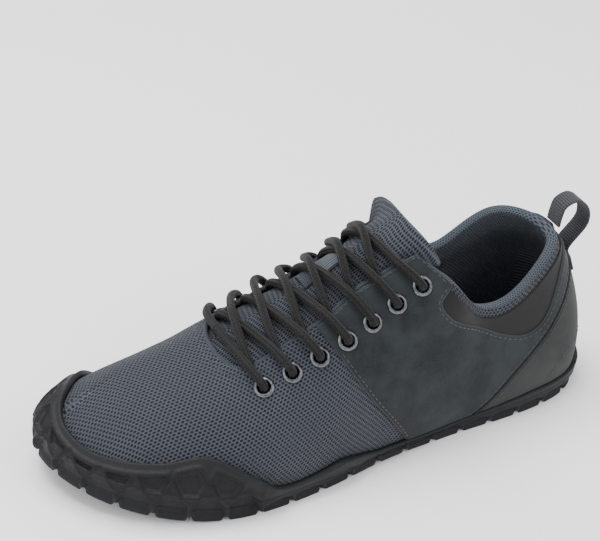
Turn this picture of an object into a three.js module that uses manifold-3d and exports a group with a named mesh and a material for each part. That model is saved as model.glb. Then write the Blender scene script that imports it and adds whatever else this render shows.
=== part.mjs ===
// Barefoot lace-up shoe for the left foot, unworn and standing on its sole.
// Millimetres. +X runs to the toe, +Y to the outer side of the foot, +Z up. The origin is on the floor
// under the middle of the heel.
import * as THREE from 'three';
import { mergeVertices } from 'three/addons/utils/BufferGeometryUtils.js';
import Module from 'manifold-3d';

const wasm = await Module();
wasm.setup();

// Driving sizes
const LENGTH = 290;
const BALL_WIDTH = 106;
const HEEL_WIDTH = 74;
const HEEL_HEIGHT = 86;
const INSTEP_HEIGHT = 102;
const TOE_SPRING = 13;
const ARCH_RISE = 1.4;
const WALL = 2.2;
const COLLAR_PAD = 3.6;
const CLEARANCE = 0.3;
const OVERLAY = 1.2;
const RAND = 2.2;
const SOLE_FLARE = 3.2;
const TREAD = 2.4;
const INSOLE = 4;
const INSOLE_BEVEL = 1.3;
const TONGUE = 6;
const THROAT_GAP = 44;
const LACE = 4.2;
const EYELET_BORE = 5.4;
const EYELET_FLANGE = 10;
const EYELET_LIP = 0.9;
const EYELETS = 7;
const LUG_PITCH = 18;
const LUG_GAP = 3;
const HEEL_CENTRE = 36;

const mix = THREE.MathUtils.lerp;
const clamp = THREE.MathUtils.clamp;
const smooth = THREE.MathUtils.smoothstep;

// The ribs run from the sole's edge up to the collar or to the ridge over the instep. A row for each, from
// the back of the heel to the tip of the toe. fore is how far a row follows the ball and the instep and not
// the heel; x are shares of LENGTH, y of the width there, z of the height there. rise and flare bend the
// foot of a rib, swell, drop, crest and pitch its top; seat is the sole's edge over the floor.
const RIB_COLUMNS = ['fore', 'outerX', 'outerY', 'innerX', 'innerY', 'topX', 'topOuterY', 'topInnerY',
  'topOuterZ', 'topInnerZ', 'rise', 'flare', 'swell', 'drop', 'crest', 'pitch', 'seat'];
const RIB_ROWS = [
  [0.00, 0.016, 0.000, 0.016, 0.000, 0.076, 0.000, 0.000, 1.000, 1.000, 0.38, 0.16, 0.28, 0.30, 0.0, 0.00, 9.0],
  [0.00, 0.038, 0.257, 0.038, -0.243, 0.093, 0.196, -0.189, 0.988, 1.012, 0.38, 0.15, 0.22, 0.30, 0.0, 0.00, 9.0],
  [0.00, 0.100, 0.399, 0.100, -0.378, 0.145, 0.331, -0.338, 0.895, 1.000, 0.38, 0.13, 0.12, 0.30, 0.0, 0.00, 9.0],
  [0.00, 0.193, 0.459, 0.193, -0.412, 0.210, 0.385, -0.385, 0.767, 0.866, 0.38, 0.12, 0.06, 0.30, 0.0, 0.00, 8.2],
  [0.10, 0.297, 0.460, 0.297, -0.376, 0.276, 0.395, -0.382, 0.793, 0.805, 0.36, 0.14, 0.08, 0.30, 0.0, 0.00, 6.2],
  [0.40, 0.400, 0.449, 0.400, -0.334, 0.341, 0.340, -0.334, 0.969, 0.985, 0.36, 0.16, 0.16, 0.26, 0.3, -0.40, 4.8],
  [0.75, 0.503, 0.454, 0.503, -0.342, 0.434, -0.020, -0.020, 1.041, 1.041, 0.36, 0.18, 0.50, 0.00, 1.0, -0.52, 5.6],
  [1.00, 0.607, 0.472, 0.607, -0.396, 0.524, -0.038, -0.038, 0.853, 0.853, 0.37, 0.18, 0.52, 0.00, 1.0, -0.56, 7.6],
  [1.00, 0.707, 0.495, 0.707, -0.443, 0.614, -0.057, -0.057, 0.706, 0.706, 0.38, 0.16, 0.50, 0.00, 1.0, -0.52, 8.5],
  [1.00, 0.800, 0.458, 0.810, -0.434, 0.703, -0.085, -0.085, 0.574, 0.574, 0.38, 0.14, 0.44, 0.00, 1.0, -0.42, 8.5],
  [1.00, 0.886, 0.344, 0.903, -0.387, 0.779, -0.123, -0.123, 0.485, 0.485, 0.40, 0.12, 0.42, 0.00, 1.0, -0.34, 8.5],
  [1.00, 0.952, 0.160, 0.962, -0.278, 0.831, -0.151, -0.151, 0.436, 0.436, 0.42, 0.12, 0.44, 0.00, 1.0, -0.32, 8.5],
  [1.00, 0.986, -0.085, 0.986, -0.085, 0.862, -0.160, -0.160, 0.407, 0.407, 0.45, 0.12, 0.48, 0.00, 1.0, -0.31, 8.5],
];
const RIBS = RIB_ROWS.map((row) => Object.fromEntries(row.map((value, i) => [RIB_COLUMNS[i], value])));
const TOE = RIBS.length - 1;
const ROUND = 2 * TOE;

// Height of the floor side of the sole: the toe spring and the slight arch, as shares of LENGTH.
const SPRING_START = 0.7;
const ARCH = { from: 0.33, to: 0.58 };
function floorAt(x) {
  const toe = clamp((x / LENGTH - SPRING_START) / (1 - SPRING_START), 0, 1);
  const arch = clamp((x / LENGTH - ARCH.from) / (ARCH.to - ARCH.from), 0, 1);
  return TOE_SPRING * toe ** 1.8 + ARCH_RISE * Math.sin(Math.PI * arch) ** 2;
}

// Each column of the table becomes a smooth closed curve through its rows: out along the outer side to
// the toe, and back along the inner side. These are the control values of a cubic B-spline.
function closedSpline(outer, inner) {
  const through = [...RIBS.map(outer), ...RIBS.map(inner).slice(1, -1).reverse()];
  const control = [...through];
  const n = control.length;
  for (let sweep = 0; sweep < 60; sweep++) {
    for (let i = 0; i < n; i++) {
      control[i] = (6 * through[i] - control[(i + n - 1) % n] - control[(i + 1) % n]) / 4;
    }
  }
  return control;
}
const widthOf = (rib) => mix(HEEL_WIDTH, BALL_WIDTH, rib.fore);
const heightOf = (rib) => mix(HEEL_HEIGHT, INSTEP_HEIGHT, rib.fore);
const alike = (value) => closedSpline(value, value);
const SPLINES = {
  x: closedSpline((r) => r.outerX * LENGTH, (r) => r.innerX * LENGTH),
  y: closedSpline((r) => r.outerY * widthOf(r), (r) => r.innerY * widthOf(r)),
  topX: alike((r) => r.topX * LENGTH),
  topY: closedSpline((r) => r.topOuterY * widthOf(r), (r) => r.topInnerY * widthOf(r)),
  topZ: closedSpline((r) => r.topOuterZ * heightOf(r), (r) => r.topInnerZ * heightOf(r)),
  ...Object.fromEntries(['rise', 'flare', 'swell', 'drop', 'crest', 'pitch', 'seat'].map(
    (name) => [name, alike((r) => r[name])])),
};
function splineAt(control, u) {
  const n = control.length;
  const k = Math.floor(u);
  const f = u - k;
  const weights = [(1 - f) ** 3, 3 * f ** 3 - 6 * f ** 2 + 4, -3 * f ** 3 + 3 * f ** 2 + 3 * f + 1, f ** 3];
  return weights.reduce((sum, w, j) => sum + w * control[(k + j - 1 + n) % n] / 6, 0);
}

// A rib is one cubic Bezier curve from the sole's edge to its top. u goes once round the shoe, v up the rib.
const ribCache = new Map();
function ribAt(u) {
  const key = Math.round(((u % ROUND) + ROUND) % ROUND * 1e6);
  if (!ribCache.has(key)) ribCache.set(key, makeRib(u));
  return ribCache.get(key);
}
function makeRib(u) {
  const at = (name, shift = 0) => splineAt(SPLINES[name], ((u + shift) % ROUND + ROUND) % ROUND);
  const step = 0.01;
  const along = new THREE.Vector3(at('x', step) - at('x', -step), at('y', step) - at('y', -step), 0).normalize();
  const out = new THREE.Vector3(-along.y, along.x, 0);
  const foot = new THREE.Vector3(at('x'), at('y'), at('seat') + floorAt(at('x')));
  const top = new THREE.Vector3(at('topX'), at('topY'), at('topZ'));
  const height = top.z - foot.z;
  const rise = at('rise') * height;
  const low = foot.clone().addScaledVector(out, at('flare') * rise);
  low.z += rise;
  const span = new THREE.Vector3(foot.x - top.x, foot.y - top.y, 0);
  const reach = at('swell') * Math.max(span.length(), height / 2);
  const side = span.addScaledVector(out, 8).normalize();
  const fall = (1 - at('crest')) * at('drop') * height - at('crest') * at('pitch') * side.x * reach;
  const high = top.clone().addScaledVector(side, reach);
  high.z -= fall;
  return { foot, low, high, top, out };
}
function surfaceAt(u, v) {
  const { foot, low, high, top } = ribAt(u);
  const w = 1 - v;
  return foot.clone().multiplyScalar(w ** 3).addScaledVector(low, 3 * v * w * w)
    .addScaledVector(high, 3 * v * v * w).addScaledVector(top, v ** 3);
}
function normalAt(u, v) {
  const step = 0.002;
  const across = surfaceAt(u + step, v).sub(surfaceAt(u - step, v));
  const up = surfaceAt(u, Math.min(v + step, 1)).sub(surfaceAt(u, Math.max(v - step, 0)));
  return up.cross(across).normalize();
}

// The throat in plan: THROAT_GAP wide, narrower behind, with a rounded front end.
const THROAT = { front: 0.708, round: 0.053, middle: -0.019, narrow: 0.86, narrowFrom: 0.47, narrowTo: 0.55 };
function insideThroat(p) {
  const t = p.x / LENGTH;
  if (t >= THROAT.front) return false;
  const end = clamp((t - THROAT.front + THROAT.round) / THROAT.round, 0, 1);
  const share = mix(THROAT.narrow, 1, smooth(t, THROAT.narrowFrom, THROAT.narrowTo)) * (1 - end ** 2.3) ** 0.435;
  return Math.abs(p.y - THROAT.middle * BALL_WIDTH) < share * THROAT_GAP / 2;
}
function bisect(test, low, high) {
  let [a, b] = [low, high];
  for (let i = 0; i < 30; i++) {
    const middle = (a + b) / 2;
    if (test(middle)) b = middle;
    else a = middle;
  }
  return (a + b) / 2;
}
// Where the ribs stop: at the collar, at the throat's edge, or on the ridge in front of the throat.
const topInside = (u) => insideThroat(ribAt(u).top);
const RIDGE_START = bisect((u) => !topInside(u), 8, 11);
const TAB_OUTER = bisect(topInside, 5, 6);
const TAB_INNER = bisect((u) => topInside(ROUND - u), 5, 6);
const onRidge = (u) => u > RIDGE_START - 1e-6 && u < ROUND - RIDGE_START + 1e-6;
const edgeCache = new Map();
function edgeOf(u) {
  const side = u > TOE ? ROUND - u : u;
  const corner = u > TOE ? TAB_INNER : TAB_OUTER;
  if (side <= corner || onRidge(u)) return 1;
  const key = Math.round(u * 1e6);
  if (!edgeCache.has(key)) {
    let v = 0.4;
    while (v < 1 && !insideThroat(surfaceAt(u, v))) v += 0.01;
    edgeCache.set(key, bisect((w) => insideThroat(surfaceAt(u, w)), v - 0.01, v));
  }
  return edgeCache.get(key);
}

// The columns of every lofted piece, alike on both sides of the shoe: evenly spaced, and closer where the
// throat's edge turns.
const COLUMN_STEP = 0.5;
function columnsOfSide() {
  const marks = [TAB_OUTER, TAB_INNER, RIDGE_START];
  for (const back of [0.12, 0.3]) marks.push(RIDGE_START - back);
  const even = Math.round(TOE / COLUMN_STEP);
  for (let i = 0; i <= even; i++) {
    const u = (i * TOE) / even;
    if (marks.every((mark) => Math.abs(mark - u) > COLUMN_STEP * 0.4)) marks.push(u);
  }
  marks.sort((a, b) => a - b);
  return marks.filter((mark, i) => i === 0 || mark - marks[i - 1] > 0.02);
}
const SIDE_COLUMNS = columnsOfSide();
const COLUMNS = [...SIDE_COLUMNS, ...SIDE_COLUMNS.slice(1, -1).reverse().map((u) => ROUND - u)];

// A point off the surface by a distance. On the ridge the two sides share their points.
function offsetPoint(u, v, distance) {
  const point = surfaceAt(u, v);
  const normal = normalAt(u, v);
  if (v > 1 - 1e-9 && onRidge(u)) {
    point.add(surfaceAt(ROUND - u, v)).multiplyScalar(0.5);
    normal.add(normalAt(ROUND - u, v)).normalize();
  }
  return point.addScaledVector(normal, distance);
}
const SPINE_INSET = 12;
function spineAt(u, lift) {
  const [a, b] = [ribAt(u), ribAt(ROUND - u)];
  const point = a.foot.clone().addScaledVector(a.out, -SPINE_INSET);
  point.add(b.foot).addScaledVector(b.out, -SPINE_INSET).multiplyScalar(0.5);
  point.z = lift + floorAt(point.x);
  return point;
}
const seatAt = (u) => splineAt(SPLINES.seat, ((u % ROUND) + ROUND) % ROUND);

// Solids from points
function solidFrom(corners) {
  const merged = mergeVertices(new THREE.BufferGeometry().setFromPoints(corners), 1e-3);
  const index = [];
  for (let i = 0; i < merged.index.count; i += 3) {
    const [a, b, c] = [0, 1, 2].map((k) => merged.index.getX(i + k));
    if (a !== b && b !== c && a !== c) index.push(a, b, c);
  }
  return new wasm.Manifold(new wasm.Mesh({
    numProp: 3,
    vertProperties: merged.attributes.position.array,
    triVerts: new Uint32Array(index),
  }));
}
// The skin over rows of points, round the shoe from row to row. closed joins each row's ends, and turned
// says where a square is split along its other diagonal.
function skin(rows, { closed = false, around = true, skip = () => false, turned = () => false } = {}) {
  const corners = [];
  const lines = around ? rows.length : rows.length - 1;
  for (let i = 0; i < lines; i++) {
    const here = rows[i];
    const next = rows[(i + 1) % rows.length];
    const steps = closed ? here.length : here.length - 1;
    for (let j = 0; j < steps; j++) {
      if (skip(i, j)) continue;
      const k = (j + 1) % here.length;
      if (turned(j)) corners.push(here[j], here[k], next[k], next[k], next[j], here[j]);
      else corners.push(here[j], here[k], next[j], next[j], here[k], next[k]);
    }
  }
  return corners;
}
function fan(ring, reverse) {
  const corners = [];
  for (let i = 1; i < ring.length - 1; i++) {
    if (reverse) corners.push(ring[0], ring[i + 1], ring[i]);
    else corners.push(ring[0], ring[i], ring[i + 1]);
  }
  return corners;
}
function meshOf(name, solid, material) {
  const { vertProperties, triVerts, numProp } = solid.getMesh();
  if (numProp !== 3) throw new Error(`${name} has more than positions`);
  const geometry = new THREE.BufferGeometry();
  geometry.setAttribute('position', new THREE.Float32BufferAttribute(vertProperties, 3));
  geometry.setIndex(new THREE.Uint32BufferAttribute(triVerts, 1));
  geometry.computeVertexNormals();
  const mesh = new THREE.Mesh(geometry, material);
  mesh.name = name;
  return mesh;
}

// The upper's forms: a wall between two offsets, and the whole last filled out to an offset.
const WALL_ROWS = 7;
const collarPad = (u, v) => {
  const side = u > TOE ? ROUND - u : u;
  return COLLAR_PAD * smooth(v, 0.62, 0.9) * (1 - smooth(side, 4.5, 5.3));
};
const lining = (u, v) => -WALL - collarPad(u, v);
function wallForm(inside, outside, rise = 0) {
  const rows = COLUMNS.map((u) => {
    const edge = edgeOf(u);
    const outer = [];
    const inner = [];
    for (let j = 0; j <= WALL_ROWS; j++) {
      const v = (edge * j) / WALL_ROWS;
      outer.push(offsetPoint(u, v, outside(u, v)));
      inner.unshift(offsetPoint(u, v, inside(u, v)));
    }
    for (const point of [...outer, ...inner]) point.z += rise;
    return [...outer, ...inner];
  });
  const skip = (i, j) => j === WALL_ROWS && onRidge(COLUMNS[i]) && onRidge(COLUMNS[(i + 1) % COLUMNS.length]);
  return solidFrom(skin(rows, { closed: true, skip, turned: (j) => j > WALL_ROWS }));
}
function lastForm(distance, drop) {
  const rows = COLUMNS.map((u) => {
    const edge = edgeOf(u);
    const { foot, out } = ribAt(u);
    const low = foot.clone().addScaledVector(out, distance);
    low.z -= drop;
    const row = [spineAt(u, seatAt(u) - drop), low];
    for (let j = 0; j <= WALL_ROWS; j++) row.push(offsetPoint(u, (edge * j) / WALL_ROWS, distance));
    const mate = offsetPoint(ROUND - u, edgeOf(ROUND - u), distance);
    row.push(row[row.length - 1].clone().add(mate).multiplyScalar(0.5));
    return row;
  });
  return solidFrom(skin(rows));
}
const steady = (distance) => () => distance;

// A smooth function through the rows of a table whose first column is the place.
function curveThrough(rows) {
  const slope = (i) => {
    const [a, b] = [rows[Math.max(i - 1, 0)], rows[Math.min(i + 1, rows.length - 1)]];
    return (b[1] - a[1]) / (b[0] - a[0]);
  };
  return (x) => {
    const last = rows.length - 2;
    let i = rows.findIndex((row, k) => k <= last && x < rows[k + 1][0]);
    if (i < 0) i = last;
    const width = rows[i + 1][0] - rows[i][0];
    const t = clamp((x - rows[i][0]) / width, 0, 1);
    const [p, q] = [rows[i][1], rows[i + 1][1]];
    const hermite = (2 * t ** 3 - 3 * t ** 2 + 1) * p + (3 * t ** 2 - 2 * t ** 3) * q;
    return hermite + ((t ** 3 - 2 * t ** 2 + t) * slope(i) + (t ** 3 - t ** 2) * slope(i + 1)) * width;
  };
}

// Outsole: a tread plate whose side climbs the upper as a rand. The rand's top is a share of each rib:
// low at the heel and the waist, up in a wave beside the ball and high round the toe.
const RAND_TOP = curveThrough([
  [0, 0.06], [1.1, 0.045], [1.5, 0.025], [2.6, 0.035], [3.4, 0.02], [5.6, 0.02], [6.1, 0.05], [6.45, 0.07],
  [6.8, 0.05], [7.25, 0.03], [7.6, 0.045], [7.95, 0.13], [8.6, 0.28], [9.0, 0.33], [9.6, 0.3], [10.4, 0.28],
  [11, 0.29], [11.5, 0.37], [12.1, 0.51], [12.7, 0.54], [13.4, 0.46], [13.9, 0.38], [14.4, 0.23], [14.8, 0.08],
  [15.2, 0.035], [17.6, 0.02], [21, 0.02], [22.5, 0.03], [23, 0.045], [24, 0.06]]);
const RAND_ROWS = 2;
const SOLE_COLUMNS = 44;
const BASE_DROP = 1;
function solePoint(u, out, z) {
  const rib = ribAt(u);
  const point = rib.foot.clone().addScaledVector(rib.out, out);
  point.z = z(floorAt(point.x), rib.foot.z);
  return point;
}
// The side of the sole from the edge of the tread to the top of the rand.
function soleSide(u) {
  const side = [
    solePoint(u, SOLE_FLARE - 2, (floor) => floor + TREAD),
    solePoint(u, SOLE_FLARE, (floor, seat) => mix(floor + TREAD, seat, 0.4)),
    solePoint(u, CLEARANCE + RAND + 0.4, (floor, seat) => seat),
  ];
  const top = RAND_TOP(u);
  for (let k = 1; k <= RAND_ROWS; k++) side.push(offsetPoint(u, (top * k) / RAND_ROWS, CLEARANCE + RAND));
  return side;
}
function soleBody() {
  const places = Array.from({ length: SOLE_COLUMNS }, (_, i) => (ROUND * i) / SOLE_COLUMNS);
  const rows = places.map((u) => [
    spineAt(u, TREAD),
    ...soleSide(u),
    offsetPoint(u, RAND_TOP(u), -WALL / 2),
    spineAt(u, seatAt(u) + BASE_DROP),
  ]);
  return solidFrom(skin(rows));
}

// Perimeter of the tread by length, so that blocks can be spaced along it.
const PERIMETER_STEPS = 480;
const perimeter = [];
for (let i = 0, length = 0, before = null; i <= PERIMETER_STEPS; i++) {
  const u = (ROUND * i) / PERIMETER_STEPS;
  const point = solePoint(u, SOLE_FLARE - 1.2, () => 0);
  if (before) length += before.distanceTo(point);
  perimeter.push({ u, length, point });
  before = point;
}
const PERIMETER = perimeter[PERIMETER_STEPS].length;
function ribAlong(length) {
  const s = ((length % PERIMETER) + PERIMETER) % PERIMETER;
  const i = Math.max(perimeter.findIndex((p) => p.length > s), 1);
  const [a, b] = [perimeter[i - 1], perimeter[i]];
  return mix(a.u, b.u, (s - a.length) / (b.length - a.length));
}
// A point on the sole's side: at a length round the perimeter, a distance up the side from the tread's edge
// (under the sole where it is negative), and a distance off it.
function sidePoint(length, up, off) {
  const u = ribAlong(length);
  const line = soleSide(u);
  const along = new THREE.Vector3(-ribAt(u).out.y, ribAt(u).out.x, 0).negate();
  const normalOf = (i) => {
    const [a, b] = [line[Math.max(i - 1, 0)], line[Math.min(i + 1, line.length - 1)]];
    return b.clone().sub(a).cross(along).normalize();
  };
  if (up < 0) {
    const point = line[0].clone().addScaledVector(ribAt(u).out, up);
    point.z = floorAt(point.x) + TREAD - off;
    return point;
  }
  let rest = up;
  for (let i = 0; i < line.length - 1; i++) {
    const step = line[i].distanceTo(line[i + 1]);
    if (rest <= step || i === line.length - 2) {
      const t = Math.min(rest / step, 1);
      const normal = normalOf(i).lerp(normalOf(i + 1), t).normalize();
      return line[i].clone().lerp(line[i + 1], t).addScaledVector(normal, off);
    }
    rest -= step;
  }
  return null;
}
// A raised block on the sole: a ring of corners on the skin, drawn in towards its top face.
const LUG_SINK = 1.2;
const LUG_DRAFT = 0.82;
function block(outline, place, height) {
  const middle = outline.reduce((sum, [x, y]) => [sum[0] + x / outline.length, sum[1] + y / outline.length], [0, 0]);
  const low = outline.map(([x, y]) => place(x, y, -LUG_SINK));
  const high = outline.map(([x, y]) => place(
    mix(middle[0], x, LUG_DRAFT), mix(middle[1], y, LUG_DRAFT), height));
  const corners = [...fan(low, true), ...fan(high, false)];
  low.forEach((point, i) => {
    const k = (i + 1) % low.length;
    corners.push(point, low[k], high[i], high[i], low[k], high[k]);
  });
  return solidFrom(corners);
}
const hexagon = (x, y, radius) => [0, 1, 2, 3, 4, 5].map((k) => {
  const turn = (k * Math.PI) / 3;
  return [x + radius * Math.cos(turn), y + radius * Math.sin(turn)];
});
function distanceInside(x, y) {
  let nearest = Infinity;
  let crossings = 0;
  for (let i = 1; i < perimeter.length; i++) {
    const [a, b] = [perimeter[i - 1].point, perimeter[i].point];
    nearest = Math.min(nearest, Math.hypot(b.x - x, b.y - y));
    if (a.y > y !== b.y > y && x < a.x + ((y - a.y) * (b.x - a.x)) / (b.y - a.y)) crossings++;
  }
  return crossings % 2 ? nearest : -nearest;
}
const LUG_RADIUS = (LUG_PITCH - LUG_GAP) / Math.sqrt(3);
const EDGE_REACH = 7;
function treadLugs() {
  const lugs = [];
  const rowStep = LUG_PITCH * Math.cos(Math.PI / 6);
  const rows = Math.ceil(LENGTH / rowStep);
  const columns = Math.ceil(BALL_WIDTH / LUG_PITCH);
  for (let i = -rows; i <= rows; i++) {
    for (let j = -columns; j <= columns; j++) {
      const x = HEEL_CENTRE + i * rowStep;
      const y = (j + (i % 2 ? 0.5 : 0)) * LUG_PITCH;
      if (distanceInside(x, y) < EDGE_REACH + LUG_RADIUS * 1.05) continue;
      const place = (px, py, off) => new THREE.Vector3(px, py, floorAt(px) + TREAD - off);
      lugs.push(block(hexagon(x, y, LUG_RADIUS).reverse(), place, TREAD));
    }
  }
  return lugs;
}
// Blocks round the edge wrap from the tread up the side: notches at the heel and the waist, tall hexagons
// beside the ball and round the toe, with a second row over them where the rand is high.
const EDGE_PITCH = 17;
const SIDE_LUG = 1.3;
const EDGE_BLOCK = { low: 5, tall: 12.5, shoulder: 0.62, tip: 0.35, upperRow: 19 };
const TALL_FROM = 14;
const TWO_ROWS_FROM = 27;
const randLength = (u) => soleSide(u).reduce((sum, p, i, all) => (i ? sum + p.distanceTo(all[i - 1]) : 0), 0);
function edgeLugs() {
  const lugs = [];
  const count = Math.round(PERIMETER / EDGE_PITCH);
  const pitch = PERIMETER / count;
  const half = (pitch - LUG_GAP) / 2;
  const { shoulder, tip, upperRow } = EDGE_BLOCK;
  for (let k = 0; k < count; k++) {
    const s = (k + 0.5) * pitch;
    const tall = randLength(ribAlong(s)) > TALL_FROM;
    const reach = tall ? EDGE_BLOCK.tall : EDGE_BLOCK.low;
    const lower = [[s - half, LUG_GAP / 2 - EDGE_REACH], [s + half, LUG_GAP / 2 - EDGE_REACH],
      [s + half, reach * shoulder], [s + half * tip, reach], [s - half * tip, reach], [s - half, reach * shoulder]];
    lugs.push(wrapBlock(lower, tall));
    const next = s + pitch / 2;
    if (randLength(ribAlong(next)) > TWO_ROWS_FROM) {
      lugs.push(block(hexagon(next, upperRow, half).reverse(), sidePoint, SIDE_LUG));
    }
  }
  return lugs;
}
// A block that folds over the tread's edge: its part under the sole reaches the floor.
const JUST_UNDER = -0.01;
const SIDE_START = 0.6;
function wrapBlock(outline, tall) {
  const [a, b, ...rest] = outline;
  const bottom = block([[a[0], JUST_UNDER], [b[0], JUST_UNDER], [b[0], b[1]], [a[0], a[1]]], sidePoint, TREAD);
  if (!tall) return bottom;
  return bottom.add(block([[a[0], SIDE_START], [b[0], SIDE_START], ...rest].reverse(), sidePoint, SIDE_LUG));
}
const lastCavity = lastForm(CLEARANCE, CLEARANCE);
function outsole() {
  return wasm.Manifold.union([soleBody(), ...treadLugs(), ...edgeLugs()]).subtract(lastCavity);
}

// Insole: a loose sheet on the outsole's floor, inside the upper.
function insole() {
  const inset = -WALL - 2 * CLEARANCE;
  const rows = COLUMNS.map((u) => {
    const edge = solePoint(u, inset, (floor) => floor + seatAt(u));
    const [low, high] = [spineAt(u, seatAt(u)), spineAt(u, seatAt(u) + INSOLE)];
    const rim = edge.clone().addScaledVector(ribAt(u).out, -INSOLE_BEVEL);
    rim.z += INSOLE;
    return [low, edge, rim, high];
  });
  return solidFrom(skin(rows));
}

// Eyelets: spread evenly along a line of places on the ribs, a row of outer and inner u and v each.
const EYELET_LINE = [
  [7.96, 0.58, 7.84, 0.555],
  [7.2, 0.58, 7.1, 0.545],
  [6.55, 0.56, 6.42, 0.535],
  [6.06, 0.57, 5.94, 0.55],
  [5.66, 0.645, 5.56, 0.625],
  [5.32, 0.81, 5.25, 0.79],
];
const VAMP_EYELETS = 3;
function eyeletPlaces(uColumn, vColumn, onRib) {
  const line = new THREE.CatmullRomCurve3(EYELET_LINE.map((row) => new THREE.Vector3(row[uColumn], row[vColumn], 0)));
  const steps = 60;
  const track = Array.from({ length: steps + 1 }, (_, i) => line.getPoint(i / steps));
  const lengths = [0];
  for (let i = 1; i <= steps; i++) {
    const [a, b] = [track[i - 1], track[i]].map((p) => surfaceAt(onRib(p.x), p.y));
    lengths.push(lengths[i - 1] + a.distanceTo(b));
  }
  return Array.from({ length: EYELETS }, (_, k) => {
    const goal = (lengths[steps] * k) / (EYELETS - 1);
    const i = clamp(lengths.findIndex((l) => l >= goal), 1, steps);
    const p = track[i - 1].clone().lerp(track[i], (goal - lengths[i - 1]) / (lengths[i] - lengths[i - 1]));
    return { u: onRib(p.x), v: p.y };
  });
}
const SIDES = [
  { name: 'lateral', sign: 1, eyelets: eyeletPlaces(0, 1, (u) => u), onRib: (u) => u },
  { name: 'medial', sign: -1, eyelets: eyeletPlaces(2, 3, (u) => ROUND - u), onRib: (u) => ROUND - u },
];
// Eyelets behind the vamp's go through the quarter, so they stand higher.
const standOf = (k) => (k < VAMP_EYELETS ? 0 : CLEARANCE + OVERLAY);
const BARREL = EYELET_BORE / 2 + 0.5;
const EYELET_SIDES = 8;
function turnOn(geometry, place, distance) {
  const normal = normalAt(place.u, place.v);
  const turn = new THREE.Quaternion().setFromUnitVectors(new THREE.Vector3(0, 1, 0), normal);
  const at = offsetPoint(place.u, place.v, distance);
  return geometry.applyQuaternion(turn).translate(at.x, at.y, at.z);
}
function solidOfGeometry(geometry) {
  const flat = geometry.index ? geometry.toNonIndexed() : geometry;
  const position = flat.getAttribute('position');
  const corners = Array.from({ length: position.count }, (_, i) => new THREE.Vector3().fromBufferAttribute(position, i));
  return solidFrom(corners);
}
function eyelet(place, k) {
  const stand = standOf(k);
  const flange = EYELET_FLANGE / 2;
  const bore = EYELET_BORE / 2;
  const seat = 2 * CLEARANCE;
  const profile = [[bore, -stand - WALL], [BARREL, -stand - WALL], [BARREL, seat], [flange, seat],
    [flange * 0.88, EYELET_LIP + seat], [bore + 0.3, EYELET_LIP + seat], [bore, -stand - WALL]];
  const ring = new THREE.LatheGeometry(profile.map(([x, y]) => new THREE.Vector2(x, y)), EYELET_SIDES);
  return solidOfGeometry(turnOn(ring, place, stand));
}
function eyeletHoles() {
  const radius = BARREL + CLEARANCE * 1.2;
  const length = 4 * (WALL + OVERLAY);
  return wasm.Manifold.union(SIDES.flatMap((side) => side.eyelets.map((place) => solidOfGeometry(
    turnOn(new THREE.CylinderGeometry(radius, radius, length, EYELET_SIDES), place, 0)))));
}
const holes = eyeletHoles();

// Overlays are cut from one thin form over the upper by outlines in the side view.
const overlayForm = wallForm(steady(CLEARANCE), steady(CLEARANCE + OVERLAY)).subtract(holes);
// What the sole covers of that form, with a clearance over the rand.
function randReach() {
  const over = 3 * (RAND + OVERLAY);
  const rows = COLUMNS.map((u) => {
    const top = RAND_TOP(u) + (2.5 * CLEARANCE) / ribAt(u).foot.distanceTo(ribAt(u).low) / 3;
    return [
      spineAt(u, 0),
      solePoint(u, over, (floor) => floor),
      solePoint(u, over, (floor, seat) => seat),
      offsetPoint(u, top, over),
      offsetPoint(u, top, -WALL / 2),
      spineAt(u, seatAt(u) + BASE_DROP),
    ];
  });
  return solidFrom(skin(rows));
}
const overSole = overlayForm.subtract(randReach());
// A plate in the side view, from y to y, with smooth edges through the outline's points.
function sidePlate(outline, from, to) {
  const shape = new THREE.Shape(outline.map(([x, z]) => new THREE.Vector2(x, z)));
  const plate = new THREE.ExtrudeGeometry(shape, { depth: Math.abs(to - from), bevelEnabled: false });
  plate.rotateX(Math.PI / 2).translate(0, Math.max(from, to), 0);
  return solidOfGeometry(plate);
}
const FAR = 400;
function smoothLine(points, steps) {
  return new THREE.SplineCurve(points.map(([x, z]) => new THREE.Vector2(x, z))).getPoints(steps).map((p) => [p.x, p.y]);
}
// The vamp's seam, from the throat down to the sole, as shares of LENGTH and INSTEP_HEIGHT from the point
// midway between the last eyelet on the vamp and the next.
const SEAM = [[0.06, 0.25], [0.02, 0.09], [0, 0], [-0.029, -0.135], [-0.062, -0.28], [-0.095, -0.405], [-0.15, -0.64]];
function seamLine(side) {
  const [a, b] = [side.eyelets[VAMP_EYELETS - 1], side.eyelets[VAMP_EYELETS]].map((p) => surfaceAt(p.u, p.v));
  const middle = a.add(b).multiplyScalar(0.5);
  return smoothLine(SEAM.map(([x, z]) => [middle.x + x * LENGTH, middle.z + z * INSTEP_HEIGHT]), 14);
}
// The piping between quarter and counter, shares of LENGTH and HEEL_HEIGHT, from the sole up to the back.
const PIPING = {
  lateral: [[0.37, -0.03], [0.262, 0.115], [0.187, 0.335], [0.128, 0.51], [0.09, 0.66], [0.07, 0.76], [0.04, 0.88]],
  medial: [[0.42, -0.03], [0.335, 0.16], [0.25, 0.27], [0.195, 0.41], [0.145, 0.62], [0.105, 0.78], [0.06, 0.9]],
};
const pipingLine = (side) => smoothLine(PIPING[side.name].map(([x, z]) => [x * LENGTH, z * HEEL_HEIGHT]), 14);
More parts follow.
